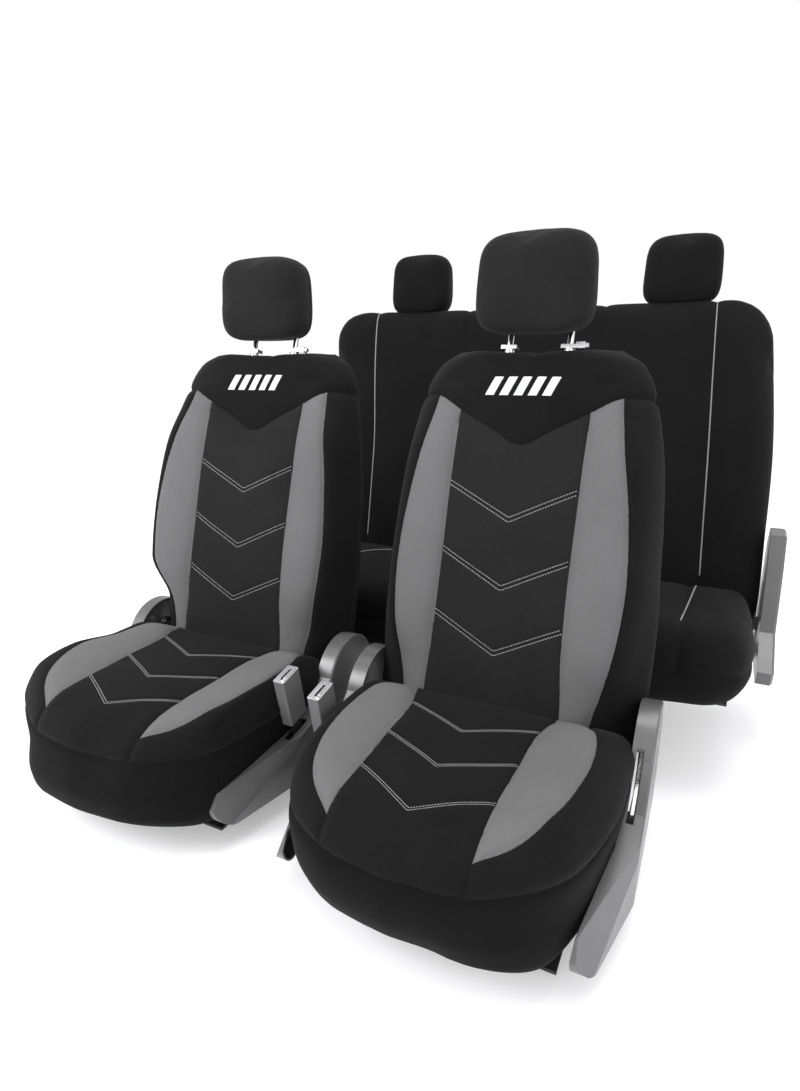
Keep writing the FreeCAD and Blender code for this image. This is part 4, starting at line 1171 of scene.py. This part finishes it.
def headrest_matrix(nodes, post_axis):
    """Middle of the CAD headrest and its lean; the shift is as pictured."""
    low = Vector(min(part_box(node)[0][axis] for node in nodes) for axis in range(3))
    high = Vector(max(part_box(node)[1][axis] for node in nodes) for axis in range(3))
    recline = math.atan2(post_axis[1], post_axis[2])
    middle = (low + high) / 2 + HEADREST_SHIFT
    return Matrix.Translation(middle) @ Matrix.Rotation(HEADREST_LEAN - recline, 4, "X")


def make_headrests():
    # The front headrests get the lighter knit, which is painted light; the bench's headrests keep the
    # black knit.
    for name, row, ends, size, swell, material in (
            ("headrest_skin", "front", ("_cover", "_foam"), (0.238, 0.184, 0.106), 0.006, "panel"),
            ("rear_headrest_skin", "bench", ("",), (0.203, 0.178, 0.098), 0.005, "black")):
        skin = headrest_skin(name, *size, swell)
        for side in SIDES:
            body = "%s_%s_headrest" % (row, side)
            nodes = [body + end for end in ends]
            matrix = headrest_matrix(nodes, JOINTS[body + "_height"]["axis"])
            cover(nodes, body + "_pad", skin.data, matrix, body, material)
        drop(skin)


# ---- bench

BENCH_HALF = 0.650
BENCH_TOP = 0.726
BENCH_DEPTH = 0.075
BENCH_FALL = 0.030
BENCH_ROUND = 0.034
BENCH_CORNER = 0.100
BENCH_PIPE = 0.495
BENCH_SEAM = 0.205
BENCH_REAR_SEAM = 0.096


def bench_back_half(level):
    """Half width of the bench's back at a height, with rounded upper corners."""
    over = max(level - (BENCH_TOP - BENCH_CORNER), 0)
    return BENCH_HALF - (BENCH_CORNER - math.sqrt(max(BENCH_CORNER ** 2 - over ** 2, 0))) * 1.15


def bench_back_skin():
    rows = []
    levels = list(np.linspace(-0.104, 0.62, 52)) + [0.64, 0.66, 0.68, 0.695, 0.706, 0.714, 0.720,
                                                    0.724, 0.726]
    for level in levels:
        low = min(level + BENCH_FALL, 0)
        reach = math.sqrt(max(BENCH_DEPTH ** 2 - low ** 2, 0))
        head = max(level - (BENCH_TOP - BENCH_ROUND), 0)
        round_top = BENCH_ROUND - math.sqrt(max(BENCH_ROUND ** 2 - head ** 2, 0))
        front = BENCH_DEPTH - reach + round_top
        rear = min(0.130 - 0.030 * float(rise(0.32, 0.726, np.array(level))),
                   BENCH_DEPTH + reach) - round_top * 0.6
        rows.append(rounded_loop(bench_back_half(level), front, rear, 0.040, level, 20))
    obj = mesh_object("bench_back_skin", *loft(rows))
    remesh(obj, 0.0118)
    upholster(obj, bench_back_seams, (0.0035, 0.014), 0.006, lambda p: p[:, 2] < 0.0, 0.009,
              (0.0009, 0.24, 21), (0.0022, 0.005))
    smooth_all(obj.data)
    return obj


def bench_lines(p):
    """Distance across to the nearest line that runs over back and cushion."""
    across = np.abs(p[:, 0])
    return np.minimum(np.abs(across - BENCH_PIPE), np.abs(across - BENCH_SEAM))


def bench_back_seams(p):
    front = (p[:, 1] < 0.06) | (p[:, 2] > 0.70)
    gap = np.where(front, bench_lines(p), 1.0)
    return np.minimum(gap, np.abs(p[:, 1] - BENCH_REAR_SEAM))


BENCH_EDGE = [(0.640, -0.015), (0.645, -0.10), (0.645, -0.22), (0.643, -0.33), (0.622, -0.392),
              (0.575, -0.424), (0.48, -0.434), (0.24, -0.434), (0.0, -0.434)]
BENCH_SIDE = [(0.174, 0.085, 0.060), (0.166, 0.062, 0.036), (0.170, 0.040, 0.018),
              (0.184, 0.022, 0.008), (0.205, 0.010, 0.003), (0.230, 0.003, 0.001),
              (0.255, 0.001, 0.001), (0.285, 0.003, 0.005), (0.310, 0.009, 0.013),
              (0.328, 0.018, 0.025), (0.341, 0.031, 0.040), (0.349, 0.050, 0.060)]
BENCH_BAND = 0.262


def bench_cushion_seams(p):
    top = p[:, 2] > BENCH_BAND
    gap = np.where(top & (p[:, 1] < -0.02), bench_lines(p), 1.0)
    return np.minimum(gap, np.abs(p[:, 2] - BENCH_BAND))


def bench_cushion_skin():
    obj = mesh_object("bench_cushion_skin", *loft(block_rows(BENCH_EDGE, BENCH_SIDE, 0.008)))
    remesh(obj, 0.010)
    upholster(obj, bench_cushion_seams, (0.004, 0.014), 0.006,
              lambda p: (p[:, 2] < 0.185) | (p[:, 1] > -0.035), 0.010, (0.0010, 0.22, 27),
              (0.0022, 0.005))
    return obj


def lean_bench_back(points):
    """The backrest's cover sits a little askew: its top lies further left than its foot."""
    level = np.clip(points[:, 2] / BENCH_TOP, 0, 1)
    inner = 1 - 0.6 * rise(0.54, 0.63, points[:, 0]) * (1 - level)
    left = rise(0.25, 0.62, -points[:, 0]) * rise(0.25, 0.68, points[:, 2])
    right = rise(0.45, 0.64, points[:, 0]) * rise(0.30, 0.70, points[:, 2])
    points[:, 0] += 0.020 * inner * (1 - level) - 0.018 * level - 0.034 * left - 0.022 * right
    points[:, 2] += 0.010 * rise(0.45, 0.71, points[:, 2]) + 0.006 * left


def lift_bench_end(points):
    """The cushion's cover is drawn up under its right end."""
    low = 1 - rise(0.17, 0.27, points[:, 2])
    points[:, 2] += 0.022 * low * rise(0.25, 0.60, points[:, 0])


def make_bench(back, seat):
    skin = bench_back_skin()
    tree = surface_of(skin)
    cover(("bench_back_cover", "bench_back_foam"), "bench_back_cover_skin",
          reshaped(skin.data, lean_bench_back), back, "bench_back", "black")
    for hand, side in ((-1, "left"), (1, "right")):
        line = [(hand * BENCH_PIPE, -0.3, 0.0), (hand * BENCH_PIPE, -0.3, 0.712)]
        bead = bead_on(tree, line, (0, 1, 0), 0.0019)
        placed("bench_back_piping_" + side, reshaped(bead, lean_bench_back), back, "bench_back",
               "piping")
    drop(skin)
    skin = bench_cushion_skin()
    tree = surface_of(skin)
    parts = panels(skin, [], lambda centres, normals: np.where(
        (centres[:, 2] < 0.180) & (normals[:, 2] < -0.9), "none", "cushion"))
    cover(("bench_cushion_cover", "bench_cushion_foam"), "bench_cushion_skin",
          reshaped(parts["cushion"], lift_bench_end), seat, "floor", "black")
    line = [(0.514, -0.02, 0.8), (0.505, -0.15, 0.8), (0.490, -0.345, 0.8)]
    arc = [(-0.255 - 0.19 * math.sin(turn), -0.40 + 0.28 * math.cos(turn), 0.8)
           for turn in np.linspace(0.15, 1.45, 12)]
    for side, path, radius in (("right", line, 0.0019), ("left", arc, 0.0017)):
        placed("bench_cushion_piping_" + side, bead_on(tree, path, (0, 0, -1), radius), seat,
               "floor", "piping")
    drop(skin)


# ---- carried-over CAD nodes

def finish_nodes():
    """Give every CAD node that stays visible its material."""
    looks = (
        ("_posts", "chrome"), ("_guides", "satin"), ("guide_button", "satin"),
        ("lever", "satin"), ("shield", "shield"), ("buckle_stalk", "dark"),
        ("buckle_casing", "casing"), ("buckle_button", "silver"), ("rails", "steel"),
        ("frame", "steel"), ("bench_base", "steel"),
    )
    for name, node in NODES.items():
        for key, material in looks:
            if key in name:
                node.data.materials.clear()
                node.data.materials.append(MATERIALS[material])
                break


MATERIALS = make_materials()
make_camera()
make_studio()
BACKS = {side: back_matrix("front_%s_recline" % side, "front_%s_headrest_height" % side,
                           PIVOT_DEPTH, PIVOT_FALL) for side in SIDES}
SEATS = {side: seat_matrix(BACKS[side]) for side in SIDES}
BENCH_BACK = back_matrix("bench_back_fold", "bench_left_headrest_height", BENCH_DEPTH, BENCH_FALL)
BENCH_BACK.translation.x = JOINTS["bench_back_fold"]["pos_m"][0]

make_front_backs(BACKS)
make_front_cushions(SEATS)
make_headrests()
make_bench(BENCH_BACK, seat_matrix(BENCH_BACK))
finish_nodes()
